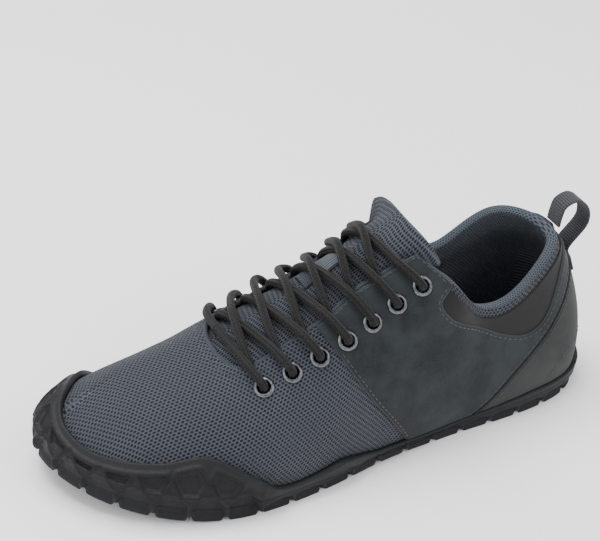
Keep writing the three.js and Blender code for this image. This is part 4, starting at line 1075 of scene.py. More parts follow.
def thick_sheet(rows, faces, high, low, uv, values):
    """A closed sheet: rows of u and v, with its face at high and its underside at low, and walls between."""
    count = len(rows)
    top = on_upper(rows[:, 0], rows[:, 1], high)
    under = on_upper(rows[:, 0], rows[:, 1], low)
    edges = {}
    for face in faces:
        for a, b in zip(face, list(face[1:]) + [face[0]]):
            edges[(a, b)] = edges.get((a, b), 0) + 1
    made = [list(f) for f in faces] + [[k + count for k in f][::-1] for f in faces]
    for a, b in edges:
        if (b, a) not in edges:
            made.append([b, a, a + count, b + count])
    values = {key: np.concatenate([value, value]) for key, value in values.items()}
    return np.concatenate([top, under]), made, np.concatenate([uv, uv]), values


SHEET_LOW = 0.08
EDGE_ROUND = 0.7
RIM_BAND = 5.0


def rounded_height(distance, full):
    t = np.clip(distance / EDGE_ROUND, 0, 1)
    return SHEET_LOW + (full - SHEET_LOW) * (0.55 + 0.45 * np.sqrt(1 - (1 - t) ** 2))


def build_sheet(name, patch, field, full, material, slot, *nodes):
    rows, faces = patch.clip(field, [np.minimum(field, 9)])
    rounded = rounded_height(rows[:, 2], full)
    points, faces, uv, values = thick_sheet(rows, faces, rounded, np.full(len(rows), SHEET_LOW),
                                            cloth_at(rows[:, 0], rows[:, 1]), {"edge": rows[:, 2]})
    obj = add_mesh(name, points, faces, uv, values)
    weld(obj, 1e-6)
    return dress(obj, material, slot, *nodes)


STITCHES = {"points": [], "faces": []}
STITCH_RADIUS = 0.27
STITCH_LENGTH = 2.1
STITCH_GAP = 1.1
# Rings of one stitch: place along it, swell and lift
STITCH_RINGS = np.array([[-0.5, 0.3, -0.25], [-0.42, 0.85, 0.1], [0.0, 1.0, 0.3], [0.42, 0.85, 0.1],
                         [0.5, 0.3, -0.25]])


def stitch_along(points, normals, radius=STITCH_RADIUS):
    """Small threads in a row on a line of points."""
    length = along(points)
    count = int(length[-1] / (STITCH_LENGTH + STITCH_GAP))
    if count < 1:
        return
    turn = np.linspace(0, 2 * np.pi, 6, endpoint=False)
    for k in range(count):
        at = (k + 0.5) * (STITCH_LENGTH + STITCH_GAP)
        where = [np.array([np.interp(at + d, length, points[:, c]) for c in range(3)]) for d in (-0.6, 0, 0.6)]
        normal = unit(np.array([np.interp(at, length, normals[:, c]) for c in range(3)]))
        run = unit(where[2] - where[0])
        side = unit(np.cross(normal, run))
        base = sum(len(p) for p in STITCHES["points"])
        rings = []
        for along_share, swell, lift in STITCH_RINGS:
            middle = where[1] + run * along_share * STITCH_LENGTH + normal * lift * radius
            rings.append(middle + radius * swell * (np.cos(turn)[:, None] * side + np.sin(turn)[:, None] * normal))
        STITCHES["points"].append(np.concatenate(rings))
        faces = grid_faces(len(STITCH_RINGS), 6, wrap_rows=True) + base
        STITCHES["faces"].extend(faces.tolist())
        STITCHES["faces"].append([base + i for i in range(6)][::-1])
        STITCHES["faces"].append([base + 24 + i for i in range(6)])


def stitch_line(patch, field, keep, high, trim=1.0):
    """Stitches on a patch where a field is zero and keep is over zero."""
    cells = keep[:-1, :-1] > 0
    line = patch.line(field, cells)
    if len(line) < 3:
        return
    points = on_upper(line[:, 0], line[:, 1], high)
    length = along(points)
    goal = np.linspace(trim, length[-1] - trim, max(int(length[-1]), 4))
    u, v = np.interp(goal, length, line[:, 0]), np.interp(goal, length, line[:, 1])
    stitch_along(on_upper(u, v, high), normal_at(u, v))


def add_stitches():
    obj = add_mesh("stitching", np.concatenate(STITCHES["points"]), STITCHES["faces"])
    return dress(obj, THREAD, "suede")


def tube(points, radius, sides=10):
    """A round tube along points, with its ends closed: points, faces and cloth coordinates."""
    points = np.asarray(points, float)
    tangent = unit(np.gradient(points, axis=0))
    normal = np.cross(tangent[0], [0, 0, 1.0])
    if np.linalg.norm(normal) < 0.1:
        normal = np.cross(tangent[0], [0, 1.0, 0])
    normal = unit(normal)
    frames = []
    for t in tangent:
        normal = unit(normal - t * (normal @ t))
        frames.append(normal)
    frames = np.array(frames)
    other = np.cross(tangent, frames)
    turn = np.linspace(0, 2 * np.pi, sides, endpoint=False)
    radius = np.broadcast_to(np.asarray(radius, float), (len(points),))
    ring = frames[:, None] * np.cos(turn)[None, :, None] + other[:, None] * np.sin(turn)[None, :, None]
    made = points[:, None] + ring * radius[:, None, None]
    length, round_it = along(points)[:, None], np.linspace(0, 1, sides, endpoint=False)[None]
    uv = np.stack(np.broadcast_arrays(length, round_it), -1)
    return made.reshape(-1, 3), capped_faces(len(points), sides), uv.reshape(-1, 2)


# Overlays of one side. Distances of the stitches are from the line that they follow.
JOINT_GAP = 0.35
COLLAR_HIGH = 0.7
PIPING_RADIUS = 0.75
SEAM_STITCH = 1.6
PANEL_STITCH = 2.2
PIPING_STITCH = 2.4
TOP_STITCH = 2.8
OVERLAY_COLUMNS, OVERLAY_ROWS = 300, 96


def build_side(side):
    us = side.on_rib(np.linspace(0.0, 9.2, OVERLAY_COLUMNS))
    if side.sign < 0:
        us = us[::-1]
    patch = Patch(us, OVERLAY_ROWS)
    rib_length = np.linalg.norm(np.diff(patch.point, axis=1), axis=-1).sum(axis=1)[:, None]
    share = patch.v / patch.v[:, -1:]
    above_rand = (patch.v - RAND_TOP(np.mod(us, ROUND))[:, None]) / patch.v[:, -1:] * rib_length - 0.3
    below_top = (1 - share) * rib_length
    holes = np.min([axis_distance(patch.point, side, k) for k in range(EYELETS)], axis=0) - HOLE_RADIUS
    seam = seam_line(side)
    piping = outline(PIPING[side.sign], LENGTH, HEEL_HEIGHT)
    panel = outline(PANEL[side.sign], LENGTH, HEEL_HEIGHT)
    behind_seam = signed(patch, seam, behind_corners())
    in_panel = signed(patch, panel, [[0, FAR], [0.3 * LENGTH, FAR]])
    in_counter = signed(patch, piping, [[-FAR, 0.9 * HEEL_HEIGHT], [-FAR, -FAR], [0.37 * LENGTH, -FAR]])
    rim = below_top - RIM_BAND
    at_throat = smooth(np.where(us > TOE, ROUND - us, us), TAB_OUTER, TAB_OUTER + 0.3)[:, None]
    quarter = np.min([behind_seam, -in_panel - JOINT_GAP, -in_counter - JOINT_GAP, above_rand, holes,
                      below_top - 1.2 * at_throat + 0.03], axis=0)
    collar = np.min([in_panel + 1.2, rim, above_rand], axis=0)
    counter = np.min([in_counter - JOINT_GAP, -in_panel - JOINT_GAP, above_rand], axis=0)
    high = CLEARANCE + OVERLAY
    build_sheet(f"{side.name}_quarter_suede", patch, quarter, high, NUBUCK, "suede", f"quarter_{side.name}")
    build_sheet(f"{side.name}_collar_leather", patch, collar, COLLAR_HIGH, COLLAR_LEATHER, "smooth_leather",
                f"collar_panel_{side.name}")
    nodes = ["heel_counter"] if side.sign > 0 else []
    # The counters take the lighter copy of the nubuck: painted light.
    build_sheet(f"{side.name}_counter_suede", patch, counter, high, LIT_COUNTER_NUBUCK, "suede", *nodes)
    # Piping in the joint of quarter and counter
    line = patch.line(in_counter, (np.minimum(above_rand, -in_panel + 0.5) > 0)[:-1, :-1])
    places = on_upper(line[:, 0], line[:, 1], high - 0.15)
    points, faces, uv = tube(resample(places, 110), PIPING_RADIUS, 8)
    dress(add_mesh(f"{side.name}_piping", points, faces, uv), PIPING_CORD, "smooth_leather")
    # Stitches: beside the seam, round the panel, along the piping, the tab and the counter
    clear = np.minimum(above_rand, below_top) - 2.0
    stitch_line(patch, behind_seam - SEAM_STITCH, np.minimum(clear, holes - 2.2), high)
    stitch_line(patch, -in_panel - PANEL_STITCH, np.min([clear, -in_counter - 1, behind_seam], axis=0), high)
    stitch_line(patch, -in_panel - PANEL_STITCH, np.min([clear, in_counter - 1], axis=0), high)
    stitch_line(patch, -in_counter - PIPING_STITCH, np.min([clear, -in_panel - 2], axis=0), high)
    stitch_line(patch, in_counter - PIPING_STITCH, np.min([clear, -in_panel - 2], axis=0), high)
    second = outline(COUNTER_LINE[side.sign], LENGTH, HEEL_HEIGHT)
    below = signed(patch, second, [[0.16 * LENGTH, -FAR], [-FAR, -FAR], [-FAR, 0.36 * HEEL_HEIGHT]])
    stitch_line(patch, below, np.min([clear, in_counter - 4], axis=0), high)
    stitch_line(patch, below_top - TOP_STITCH, np.min([behind_seam - 2, -in_panel - 2], axis=0), high)


# Outsole
RAND_INNER = 0.15
TREAD_EDGE = 5.5
UNDER_ROWS = 9
SIDE_ROWS = 46
LIP_ROWS = 5
SOLE_COLUMNS = 900
LIP_RISE = 0.8
EDGE_REACH = 7.0
EDGE_PITCH = 17.0
SIDE_LUG = 1.3
BLOCK_LOW = 5.0
BLOCK_TALL = 12.5
BLOCK_SHOULDER = 0.62
BLOCK_TIP = 0.35
UPPER_ROW = 19.0
TALL_FROM = 14.0
UPPER_FROM = 19.0
SMOOTH_BAND = 5.5
BLOCK_SOFTNESS = 1.5
FOOT_BULGE = 1.3
GROOVE_DEPTH = 1.15
SIDE_GAP = 1.9
LUG_RADIUS = (LUG_PITCH - LUG_GAP) / math.sqrt(3)


def seat_at(u):
    return spline_at("seat", u)


def side_paths(us, count):
    """The sole's side at ribs us: count points from the tread's edge to the rand's top, and the lengths."""
    foot, _, _, _, out = rib_at(us)
    floor = floor_at(foot[:, 0])

    def at(reach, z):
        point = foot + out * reach
        point[:, 2] = z
        return point
    low = at(SOLE_FLARE - 2, floor + TREAD)
    bulge = at(SOLE_FLARE + 0.5, mix(floor + TREAD, foot[:, 2], 0.4))
    seat = at(CLEARANCE + RAND + 0.2, foot[:, 2])
    t = np.linspace(0, 1, 12)[None, :, None]
    curve = low[:, None] * (1 - t) ** 2 + bulge[:, None] * 2 * t * (1 - t) + seat[:, None] * t * t
    v = RAND_TOP(us)[:, None] * np.linspace(0, 1, 34)[None, 1:]
    climb = offset_at(us[:, None], v, CLEARANCE + RAND)
    path = np.concatenate([curve, climb], axis=1)
    sides, lengths = [], []
    for line in path:
        sides.append(resample(line, count))
        lengths.append(along(line)[-1])
    return np.array(sides), np.array(lengths)


def perimeter_table():
    us = np.linspace(0, ROUND, 1921)
    foot, _, _, _, out = rib_at(us)
    edge = foot + out * (SOLE_FLARE - 1.2)
    edge[:, 2] = 0
    return us, along(edge), edge


PERIMETER_U, PERIMETER_LENGTH, PERIMETER_EDGE = perimeter_table()
PERIMETER = PERIMETER_LENGTH[-1]
BLOCKS = int(round(PERIMETER / EDGE_PITCH))
BLOCK_PITCH = PERIMETER / BLOCKS


def block_fields(s, t, length):
    """How far inside a block of the sole's edge a place is: lengths round and up the side, and the side's own."""
    half = (BLOCK_PITCH - SIDE_GAP) / 2
    middles = (np.arange(BLOCKS) + 0.5) * BLOCK_PITCH
    side_length = np.interp(middles, s[:, 0], length)
    k = np.mod(np.floor(s / BLOCK_PITCH).astype(int), BLOCKS)
    x = np.abs(s - (np.floor(s / BLOCK_PITCH) + 0.5) * BLOCK_PITCH)
    tall = side_length[k] > TALL_FROM
    reach = np.where(tall, BLOCK_TALL, BLOCK_LOW)
    ax, at = half, reach * BLOCK_SHOULDER
    bx, bt = half * BLOCK_TIP, reach
    slant = ((bx - ax) * (t - at) - (bt - at) * (x - ax)) / np.hypot(bx - ax, bt - at)
    lower = np.min([half - x, slant, reach - t, t + TREAD_EDGE], axis=0)
    joints = np.arange(BLOCKS) * BLOCK_PITCH
    joint_length = np.interp(joints, s[:, 0], length)
    j = np.mod(np.round(s / BLOCK_PITCH).astype(int), BLOCKS)
    x2 = np.abs(s - np.round(s / BLOCK_PITCH) * BLOCK_PITCH)
    y2 = np.abs(t - UPPER_ROW)
    root = math.sqrt(3) / 2
    upper = half * root - np.maximum(y2, x2 * root + y2 / 2)
    upper = np.where(joint_length[j] > UPPER_FROM, upper, -FAR)
    under_band = length[:, None] - SMOOTH_BAND - t
    upper = np.minimum(upper, under_band)
    lower = np.where(tall, np.minimum(lower, under_band + SMOOTH_BAND / 2), lower)
    return lower, tall, upper, half - x


def hexagon(x, y, radius):
    turn = np.arange(6) * np.pi / 3
    return np.stack([x + radius * np.cos(turn), y + radius * np.sin(turn)], -1)


def tread_centres():
    row_step = LUG_PITCH * math.cos(math.pi / 6)
    rows, columns = math.ceil(LENGTH / row_step), math.ceil(BALL_WIDTH / LUG_PITCH)
    edge = PERIMETER_EDGE[::4, :2]
    kept = []
    for i in range(-rows, rows + 1):
        for j in range(-columns, columns + 1):
            x, y = HEEL_CENTRE + i * row_step, (j + (0.5 if i % 2 else 0)) * LUG_PITCH
            near = np.hypot(*(edge - [x, y]).T).min()
            if polygon_holds(np.array(x), np.array(y), edge) and near >= EDGE_REACH + LUG_RADIUS * 1.05:
                kept.append((x, y))
    return kept


def tread_lug(x, y):
    """A hexagonal lug with a soft edge: rings from inside the sole down to the floor."""
    rings = []
    for share, drop in ((1.0, -1.0), (0.97, 0.0), (0.9, TREAD - 0.5), (0.87, TREAD - 0.15), (0.82, TREAD)):
        ring = hexagon(x, y, LUG_RADIUS * share)
        z = floor_at(ring[:, 0]) + TREAD - drop
        rings.append(np.column_stack([ring, z]))
    points = np.concatenate(rings)
    faces = grid_faces(5, 6, wrap_rows=True).tolist()
    faces.append([24 + k for k in range(6)])
    faces.append([k for k in range(6)][::-1])
    return points, faces


def pillow(inside):
    """How far a block stands out, from 0 at its border to 1 over its face."""
    return np.sqrt(np.clip(1 - (1 - np.clip(inside / BLOCK_SOFTNESS, 0, 1)) ** 2, 0, 1))


def build_outsole():
    count = SOLE_COLUMNS
    goal = np.linspace(0, PERIMETER, count, endpoint=False)
    us = np.interp(goal, PERIMETER_LENGTH, PERIMETER_U)
    side, length = side_paths(us, SIDE_ROWS)
    share = np.linspace(0, 1, SIDE_ROWS)
    t_side = length[:, None] * share
    foot, _, _, _, out = rib_at(us)
    under_t = np.broadcast_to(-np.linspace(EDGE_REACH, 0.3, UNDER_ROWS), (count, UNDER_ROWS))
    under = side[:, :1] + out[:, None] * under_t[..., None]
    under[..., 2] = floor_at(under[..., 0]) + TREAD
    base = np.concatenate([under, side], axis=1)
    t = np.concatenate([under_t, t_side], axis=1)
    s = np.broadcast_to(goal[:, None], t.shape)
    along_grid = np.roll(base, -1, axis=0) - np.roll(base, 1, axis=0)
    up_grid = np.gradient(base, axis=1)
    normal = unit(np.cross(along_grid, up_grid))
    lower, tall, upper, inside_x = block_fields(s, t, length)
    down = 1 - smooth(t, -0.4, 1.2)
    on_side = np.where(tall, 1.0, 1 - smooth(t, 2.6, 4.6))
    lift = np.maximum(pillow(lower) * on_side, pillow(upper))
    push = np.zeros(base.shape)
    push[..., 2] = -TREAD * down
    bulge = FOOT_BULGE * (1 - smooth(t, 4, 12.5))
    push += normal * ((SIDE_LUG + bulge) * (1 - down))[..., None]
    push += out[:, None] * (bulge * smooth(t, -4, 0) * down)[..., None]
    low_side = (length < TALL_FROM + 4)[:, None]
    notch = np.clip(-inside_x / 1.2 + 0.2, 0, 1) * (1 - smooth(t, 2.4, 4.6)) * smooth(t, -1.5, 0.2) * low_side
    thin = smooth(t_side, length[:, None] - np.minimum(9, length[:, None] * 0.5), length[:, None])
    thin = np.concatenate([0 * under_t, thin], axis=1) * smooth(length, 5, 14)[:, None]
    near_block = smooth(np.maximum(lower * on_side, upper), -3.4, -0.6)
    climbs = smooth(length, 8, 14)[:, None]
    groove = GROOVE_DEPTH * (1 - lift) * near_block * smooth(t, 0, 2) * climbs
    points = base + push * lift[..., None] - normal * (1.3 * notch + 0.9 * thin + groove)[..., None]
    top = RAND_TOP(us)
    lip_from = points[:, -1]
    lip_to = on_upper(us, top, RAND_INNER)
    rim_up = unit(surface_at(us, top + 0.01) - surface_at(us, top - 0.01))
    turn = np.linspace(0, np.pi, LIP_ROWS + 2)[None, 1:-1]
    middle, half = (lip_from + lip_to) / 2, (lip_from - lip_to) / 2
    lip = (middle[:, None] + half[:, None] * np.cos(turn)[..., None]
           + rim_up[:, None] * (LIP_RISE * np.sin(turn))[..., None])
    inner = np.stack([on_upper(us, top * k, RAND_INNER) for k in (0.99, 0.75, 0.5, 0.25, 0.02)], axis=1)
    floor_edge = foot + out * RAND_INNER
    floor_edge[:, 2] -= CLEARANCE
    inner_floor = [floor_edge, spine_at(us, seat_at(us) - CLEARANCE)]
    points = np.concatenate([spine_at(us, TREAD)[:, None], points, lip, inner, np.stack(inner_floor, 1)], axis=1)
    rows = points.shape[1]
    rest = np.zeros((count, rows - 1 - t.shape[1]))
    # Painted shade for the grooves between the blocks, carried to the material in the groove attribute
    painted_groove_shade = np.concatenate([np.zeros((count, 1)), (1 - lift) * near_block * climbs, rest], axis=1)
    # Painted highlight along the rounded rims of the blocks, carried to the material in the crest attribute
    painted_block_highlight = np.clip(1 - np.abs(np.maximum(lower * on_side, upper) - 0.6) / 0.7, 0, 1)
    crest = np.concatenate([np.zeros((count, 1)), painted_block_highlight, rest], axis=1)
    faces = grid_faces(count, rows, wrap_columns=True).tolist()
    points = points.reshape(-1, 3)
    uv = np.stack([np.repeat(goal, rows), np.tile(np.arange(rows), count)], -1)
    groove, crest = painted_groove_shade.ravel(), crest.ravel()
    parts, all_faces, total = [points], faces, len(points)
    for x, y in tread_centres():
        more, more_faces = tread_lug(x, y)
        all_faces.extend([[k + total for k in f] for f in more_faces])
        parts.append(more)
        total += len(more)
    extra = total - len(points)
    values = {"groove": groove, "crest": crest}
    values = {key: np.concatenate([value, np.zeros(extra)]) for key, value in values.items()}
    uv = np.concatenate([uv, np.zeros((extra, 2))])
    obj = add_mesh("outsole_rubber", np.concatenate(parts), all_faces, uv, values)
    weld(obj)
    return dress(obj, RUBBER, "rubber_sole", "outsole")


# Insole
def build_insole():
    half = np.linspace(0, TOE, 150)
    us = np.concatenate([half, ROUND - half[1:-1][::-1]])
    foot, _, _, _, out = rib_at(us)
    edge = foot + out * (-WALL - 2 * CLEARANCE)
    edge[:, 2] = floor_at(foot[:, 0]) + seat_at(us)
    rows = [spine_at(us, seat_at(us)), edge]
    for inset, high in ((0.2, 0.5), (0.8, 0.85), (1.8, 1.0), (6.0, 1.0)):
        ring = edge - out * inset
        ring[:, 2] += INSOLE * high
        rows.append(ring)
    rows.append(spine_at(us, seat_at(us) + INSOLE))
    points = np.stack(rows, axis=1)
    obj = add_mesh("insole_foam", points.reshape(-1, 3), grid_faces(len(us), points.shape[1], wrap_columns=True),
                   points[..., :2].reshape(-1, 2))
    weld(obj)
    return dress(obj, SOCK_CLOTH, "foam_insole", "insole")


# Tongue
TONGUE_LAP = 9.0
TONGUE_FRONT = 9.5
TONGUE_LAST_RIB = 6.15
TONGUE_HIGH_RIBS = [5.93, 5.7, 5.5]
TONGUE_LOW_ROWS = 6
TONGUE_TOP = {1: [0.342, 0.231, 0.915], 0: [0.372, -0.02, 1.08], -1: [0.382, -0.25, 1.03]}
HALF_TONGUE = 4
UNDER_EYESTAY = 0.7
UNDER_WALL = -WALL - 3 * CLEARANCE


def tongue_lap(u):
    foot, _, _, top, _ = rib_at(u)
    return TONGUE_LAP / np.linalg.norm(top - foot)


def tongue_edge(u, side, t):
    edge = edge_of(side.on_rib(min(u, RIDGE_START - 0.8)))
    return offset_at(side.on_rib(u), edge - tongue_lap(u) * t, UNDER_WALL)


def tongue_rib(u, side, t):
    edge = edge_of(side.on_rib(min(u, RIDGE_START - 0.8))) - tongue_lap(u)
    return offset_at(side.on_rib(u), mix(1, edge, t), UNDER_WALL)


def top_point(sign):
    return np.array(TONGUE_TOP[sign]) * [LENGTH, BALL_WIDTH, INSTEP_HEIGHT]


def arch_to(middle, edge, t):
    turn = t * math.pi / 2
    share = np.array([1 - math.cos(turn), math.sin(turn), 1 - math.cos(turn)])
    return middle + (edge - middle) * share


def tongue_line(point_on):
    halves = [[point_on(side, i / HALF_TONGUE) for i in range(HALF_TONGUE + 1)] for side in SIDES]
    middle = (halves[0][0] + halves[1][0]) / 2
    return np.array(halves[0][:0:-1] + [middle] + halves[1][1:])


def high_tongue_point(rib, middle, side, t):
    if t <= UNDER_EYESTAY:
        return arch_to(middle, tongue_edge(rib, side, 0), t / UNDER_EYESTAY)
    return tongue_edge(rib, side, (t - UNDER_EYESTAY) / (1 - UNDER_EYESTAY))


def tongue_lines():
    lines = []
    for i in range(TONGUE_LOW_ROWS + 1):
        rib = mix(TONGUE_FRONT, TONGUE_LAST_RIB, i / TONGUE_LOW_ROWS)
        lines.append(tongue_line(lambda side, t: tongue_rib(rib, side, t)))
    last, top = lines[-1][HALF_TONGUE].copy(), top_point(0)
    for i, rib in enumerate(TONGUE_HIGH_RIBS):
        middle = mix(last, top, (i + 1) / (len(TONGUE_HIGH_RIBS) + 1))
        lines.append(tongue_line(lambda side, t: high_tongue_point(rib, middle, side, t)))
    lines.append(tongue_line(lambda side, t: arch_to(top, top_point(side.sign), t)))
    return np.array(lines)


TONGUE_ROWS = tongue_lines()


def tongue_face(row, side, t, off=0.0):
    """A point off the tongue's face: a row from the front, and a share from its middle to a side's edge."""
    def at(r, c):
        r0 = int(np.clip(math.floor(r), 0, len(TONGUE_ROWS) - 2))
        c0 = int(np.clip(math.floor(c), 0, 2 * HALF_TONGUE - 1))
        a, b = [mix(TONGUE_ROWS[k, c0], TONGUE_ROWS[k, c0 + 1], c - c0) for k in (r0, r0 + 1)]
        return mix(a, b, r - r0)
    column = HALF_TONGUE * (1 - side.sign * t)
    run = at(row + 0.3, column) - at(row - 0.3, column)
    across = at(row, column + 0.3) - at(row, column - 0.3)
    return at(row, column) + unit(np.cross(run, across)) * off


def solve(test, low, high):
    for _ in range(40):
        middle = (low + high) / 2
        if test(middle):
            high = middle
        else:
            low = middle
    return (low + high) / 2


def tongue_at(x, side, t, off=0.0):
    row = solve(lambda r: tongue_face(r, side, t)[0] < x, 0, len(TONGUE_ROWS) - 1)
    return tongue_face(row, side, t, off)


def build_tongue():
    columns = np.stack([catmull_rom(TONGUE_ROWS[:, k], 110) for k in range(TONGUE_ROWS.shape[1])], axis=1)
    face = np.array([catmull_rom(line, 56) for line in columns])
    run, across = np.gradient(face, axis=0), np.gradient(face, axis=1)
    normal = unit(np.cross(run, across))
    i = np.linspace(0, 1, face.shape[0])[:, None]
    j = np.abs(np.linspace(-1, 1, face.shape[1]))[None, :]
    thick = TONGUE * mix(1, 0.5, j ** 4) * np.ones_like(i)
    rim = np.minimum((1 - j) * 30, (1 - i) * 90)
    round_off = np.sqrt(np.clip(1 - (1 - np.clip(rim / 3, 0, 1)) ** 2, 0, 1))
    sink = thick / 2 * (1 - round_off)
    top = face - normal * (sink * smooth(i, 0.62, 0.7))[..., None]
    under = face - normal * (thick - sink)[..., None]
    points = np.concatenate([top, under[:, ::-1]], axis=1)
    length, width = grid_length(face, 0), grid_length(face, 1)
    middle = face.shape[1] // 2
    cloth = np.stack([length, width - width[:, middle:middle + 1]], -1)
    uv = np.concatenate([cloth, cloth[:, ::-1] + [0, 200]], axis=1)
    obj = add_mesh("tongue_mesh", points.reshape(-1, 3), folded_faces(*points.shape[:2]), uv.reshape(-1, 2))
    weld(obj)
    return dress(obj, TONGUE_CLOTH, "tongue_cloth", "tongue")


# Eyelets
EYELET_LIP = 0.7


def stand_of(k):
    return 0.0 if k < VAMP_EYELETS else CLEARANCE + OVERLAY


def build_eyelets(side):
    bore, flange = EYELET_BORE / 2, EYELET_FLANGE / 2
    for k in range(EYELETS):
        stand = stand_of(k)
        profile = np.array([[bore + 0.45, -stand - WALL], [bore, -stand - WALL], [bore, -0.2], [bore + 0.12, 0.35],
                            [bore + 0.5, 0.95], [bore + 1.0, 1.12], [flange - 0.8, 0.85], [flange - 0.2, 0.55],
                            [flange, 0.2], [flange - 0.15, 0.0], [bore + 0.45, 0.0]])
        u, v = side.eyelets[k]
        centre = on_upper(u, v, stand)
        normal = normal_at(u, v)
        one = unit(np.cross(normal, [0, 1.0, 0.3]))
        two = np.cross(normal, one)
        turn = np.linspace(0, 2 * np.pi, 48, endpoint=False)
        spoke = np.cos(turn)[:, None] * one + np.sin(turn)[:, None] * two
        points = centre + spoke[:, None] * profile[None, :, :1] + normal * profile[None, :, 1:]
        obj = add_mesh(f"eyelet_ring_{side.name}_{k + 1}", points.reshape(-1, 3),
                       grid_faces(48, len(profile), wrap_columns=True, wrap_rows=True))
        weld(obj)
        dress(obj, NICKEL, "eyelet_metal", f"eyelet_{side.name}_{k + 1}")


# Keeper on the tongue
KEEPER_FROM, KEEPER_TO, KEEPER_SIDE, KEEPER_WIDTH, KEEPER_THICK = 0.517, 0.478, 0.1, 11.5, 1.2
KEEPER_STAND = 2 * CLEARANCE


def build_keeper():
    rows, columns = 22, 24
    top, under, uv = [], [], []
    for share in np.linspace(0, 1, rows):
        x = mix(KEEPER_FROM, KEEPER_TO, share) * LENGTH
        middle = tongue_at(x, MEDIAL, KEEPER_SIDE)
        reach = solve(lambda t: np.linalg.norm(tongue_at(x, MEDIAL, t) - middle) > KEEPER_WIDTH / 2, KEEPER_SIDE, 1)
        for k in np.linspace(-1, 1, columns):
            t = mix(KEEPER_SIDE, reach, k)
            rim = min(1 - abs(k), 1 - abs(share * 2 - 1)) * 5
            soft = math.sqrt(1 - (1 - min(rim / 0.6, 1)) ** 2)
            top.append(tongue_at(x, MEDIAL, t, KEEPER_STAND + KEEPER_THICK * (0.6 + 0.4 * soft)))
            under.append(tongue_at(x, MEDIAL, t, KEEPER_STAND))
            uv.append([k * KEEPER_WIDTH / 2, share * 11])
    points = np.array(top + under)
    faces = grid_faces(rows, columns).tolist()
    count = rows * columns
    faces += [[k + count for k in f][::-1] for f in faces]
    ring = list(range(columns)) + [i * columns + columns - 1 for i in range(1, rows)]
    ring += [(rows - 1) * columns + j for j in range(columns - 2, -1, -1)]
    ring += [i * columns for i in range(rows - 2, 0, -1)]
    faces += [[a, b, b + count, a + count] for a, b in zip(ring, ring[1:] + ring[:1])]
    obj = add_mesh("keeper_webbing", points, faces, np.array(uv + uv))
    weld(obj)
    return dress(obj, KEEPER_WEBBING, "webbing_light", "tongue_loop")


# The keeper's sewn-down end: a flat patch toward the toe, with stitches round it
PATCH_REACH, PATCH_WIDTH, PATCH_THICK = 0.027, 9.5, 0.8


def build_keeper_patch():
    rows, columns = 14, 14
    middle = tongue_at((KEEPER_FROM + PATCH_REACH / 2) * LENGTH, MEDIAL, KEEPER_SIDE)
    reach = solve(lambda t: np.linalg.norm(tongue_at(middle[0], MEDIAL, t) - middle) > PATCH_WIDTH / 2,
                  KEEPER_SIDE, 1)
    xs = np.linspace(KEEPER_FROM + PATCH_REACH, KEEPER_FROM + 0.004, rows) * LENGTH
    shares = np.linspace(2 * KEEPER_SIDE - reach, reach, columns)
    face, under = [np.array([[tongue_at(x, MEDIAL, share, off) for share in shares] for x in xs])
                   for off in (KEEPER_STAND / 2 + PATCH_THICK, 0.05)]
    points = np.concatenate([face, under[:, ::-1]], axis=1)
    uv = points[..., :2].reshape(-1, 2)
    obj = add_mesh("keeper_end_patch", points.reshape(-1, 3), folded_faces(*points.shape[:2]), uv)
    weld(obj)
    dress(obj, EDGE_TAPE, "webbing_light")
    a, b = 2, columns - 3
    ring = np.concatenate([face[2:-1, a], face[-2, a:b], face[2:-1, b][::-1], face[2, a:b][::-1]])
    upward = unit(np.cross(face[0, -1] - face[0, 0], face[-1, 0] - face[0, 0]))
    stitch_along(resample(ring, 60), np.broadcast_to(upward * np.sign(upward[2]), (60, 3)))


# Pull loop
STRAP_WIDTH, STRAP_THICK, LOOP_RISE = 11.0, 1.5, 13.4
LOOP_FEET = [0.6, 0.7, 0.78]
LOOP_TURNS = [[-1.45, -0.05], [-1.35, 0.6], [-0.85, 1], [-0.35, 0.85], [-0.2, 0.45]]


def build_pull_loop():
    stand = 3 * CLEARANCE + OVERLAY + STRAP_THICK / 2
    foot = [offset_at(0.0, v, stand) for v in LOOP_FEET]
    top = rib_at(0.0)[3]
    free = [top + np.array([x, 0, z]) * LOOP_RISE for x, z in LOOP_TURNS]
    end = top + np.array([-0.15 * LOOP_RISE, 0, 2 * CLEARANCE])
    path = resample(catmull_rom([*foot, *free, end], 240), 110)
    tangent = unit(np.gradient(path, axis=0))
    off = np.cross(tangent, [0, 1.0, 0])
    rim = np.linspace(0, np.pi, 7)
    half, thick = STRAP_WIDTH / 2, STRAP_THICK / 2
    section = [[half - thick + thick * math.sin(a), thick * math.cos(a)] for a in rim]
    flat = np.linspace(1, -1, 12)[1:-1] * (half - thick)
    section += [[y, -thick] for y in flat]
    section += [[-(half - thick) - thick * math.sin(a), -thick * math.cos(a)] for a in rim]
    section += [[y, thick] for y in flat[::-1]]
    section = np.array(section)
    points = path[:, None] + section[None, :, :1] * np.array([0, 1.0, 0]) + off[:, None] * section[None, :, 1:]
    length = along(path)
    uv = np.stack(np.broadcast_arrays(length[:, None], section[None, :, 0]), -1)
    rows = len(section)
    obj = add_mesh("pull_loop_webbing", points.reshape(-1, 3), capped_faces(len(path), rows), uv.reshape(-1, 2))
    weld(obj)
    return dress(obj, LOOP_WEBBING, "webbing_dark", "pull_loop")


# Laces: two strands that share the bar, through the eyelets and under the eyestays
OVER_TONGUE = LACE / 2 + 3 * CLEARANCE
KEEPER_CROSSING = 3
LACE_FROM_TAB = 0.1
UNDER_DEPTH = WALL + 1.9
LACE_SIDES = 14
LACE_STEP = 0.9
MIDDLE_SINK = 0.5
UPPER_STRAND = 0.85 * LACE
# How far ahead of its eyelet a strand meets the throat's edge: at the first eyelet, and more for each on
LACE_AHEAD = {1: (3.2, 0.9), -1: (7.5, 0.6)}
LEAVES_BEHIND = {1: 2.6, -1: 5.5}


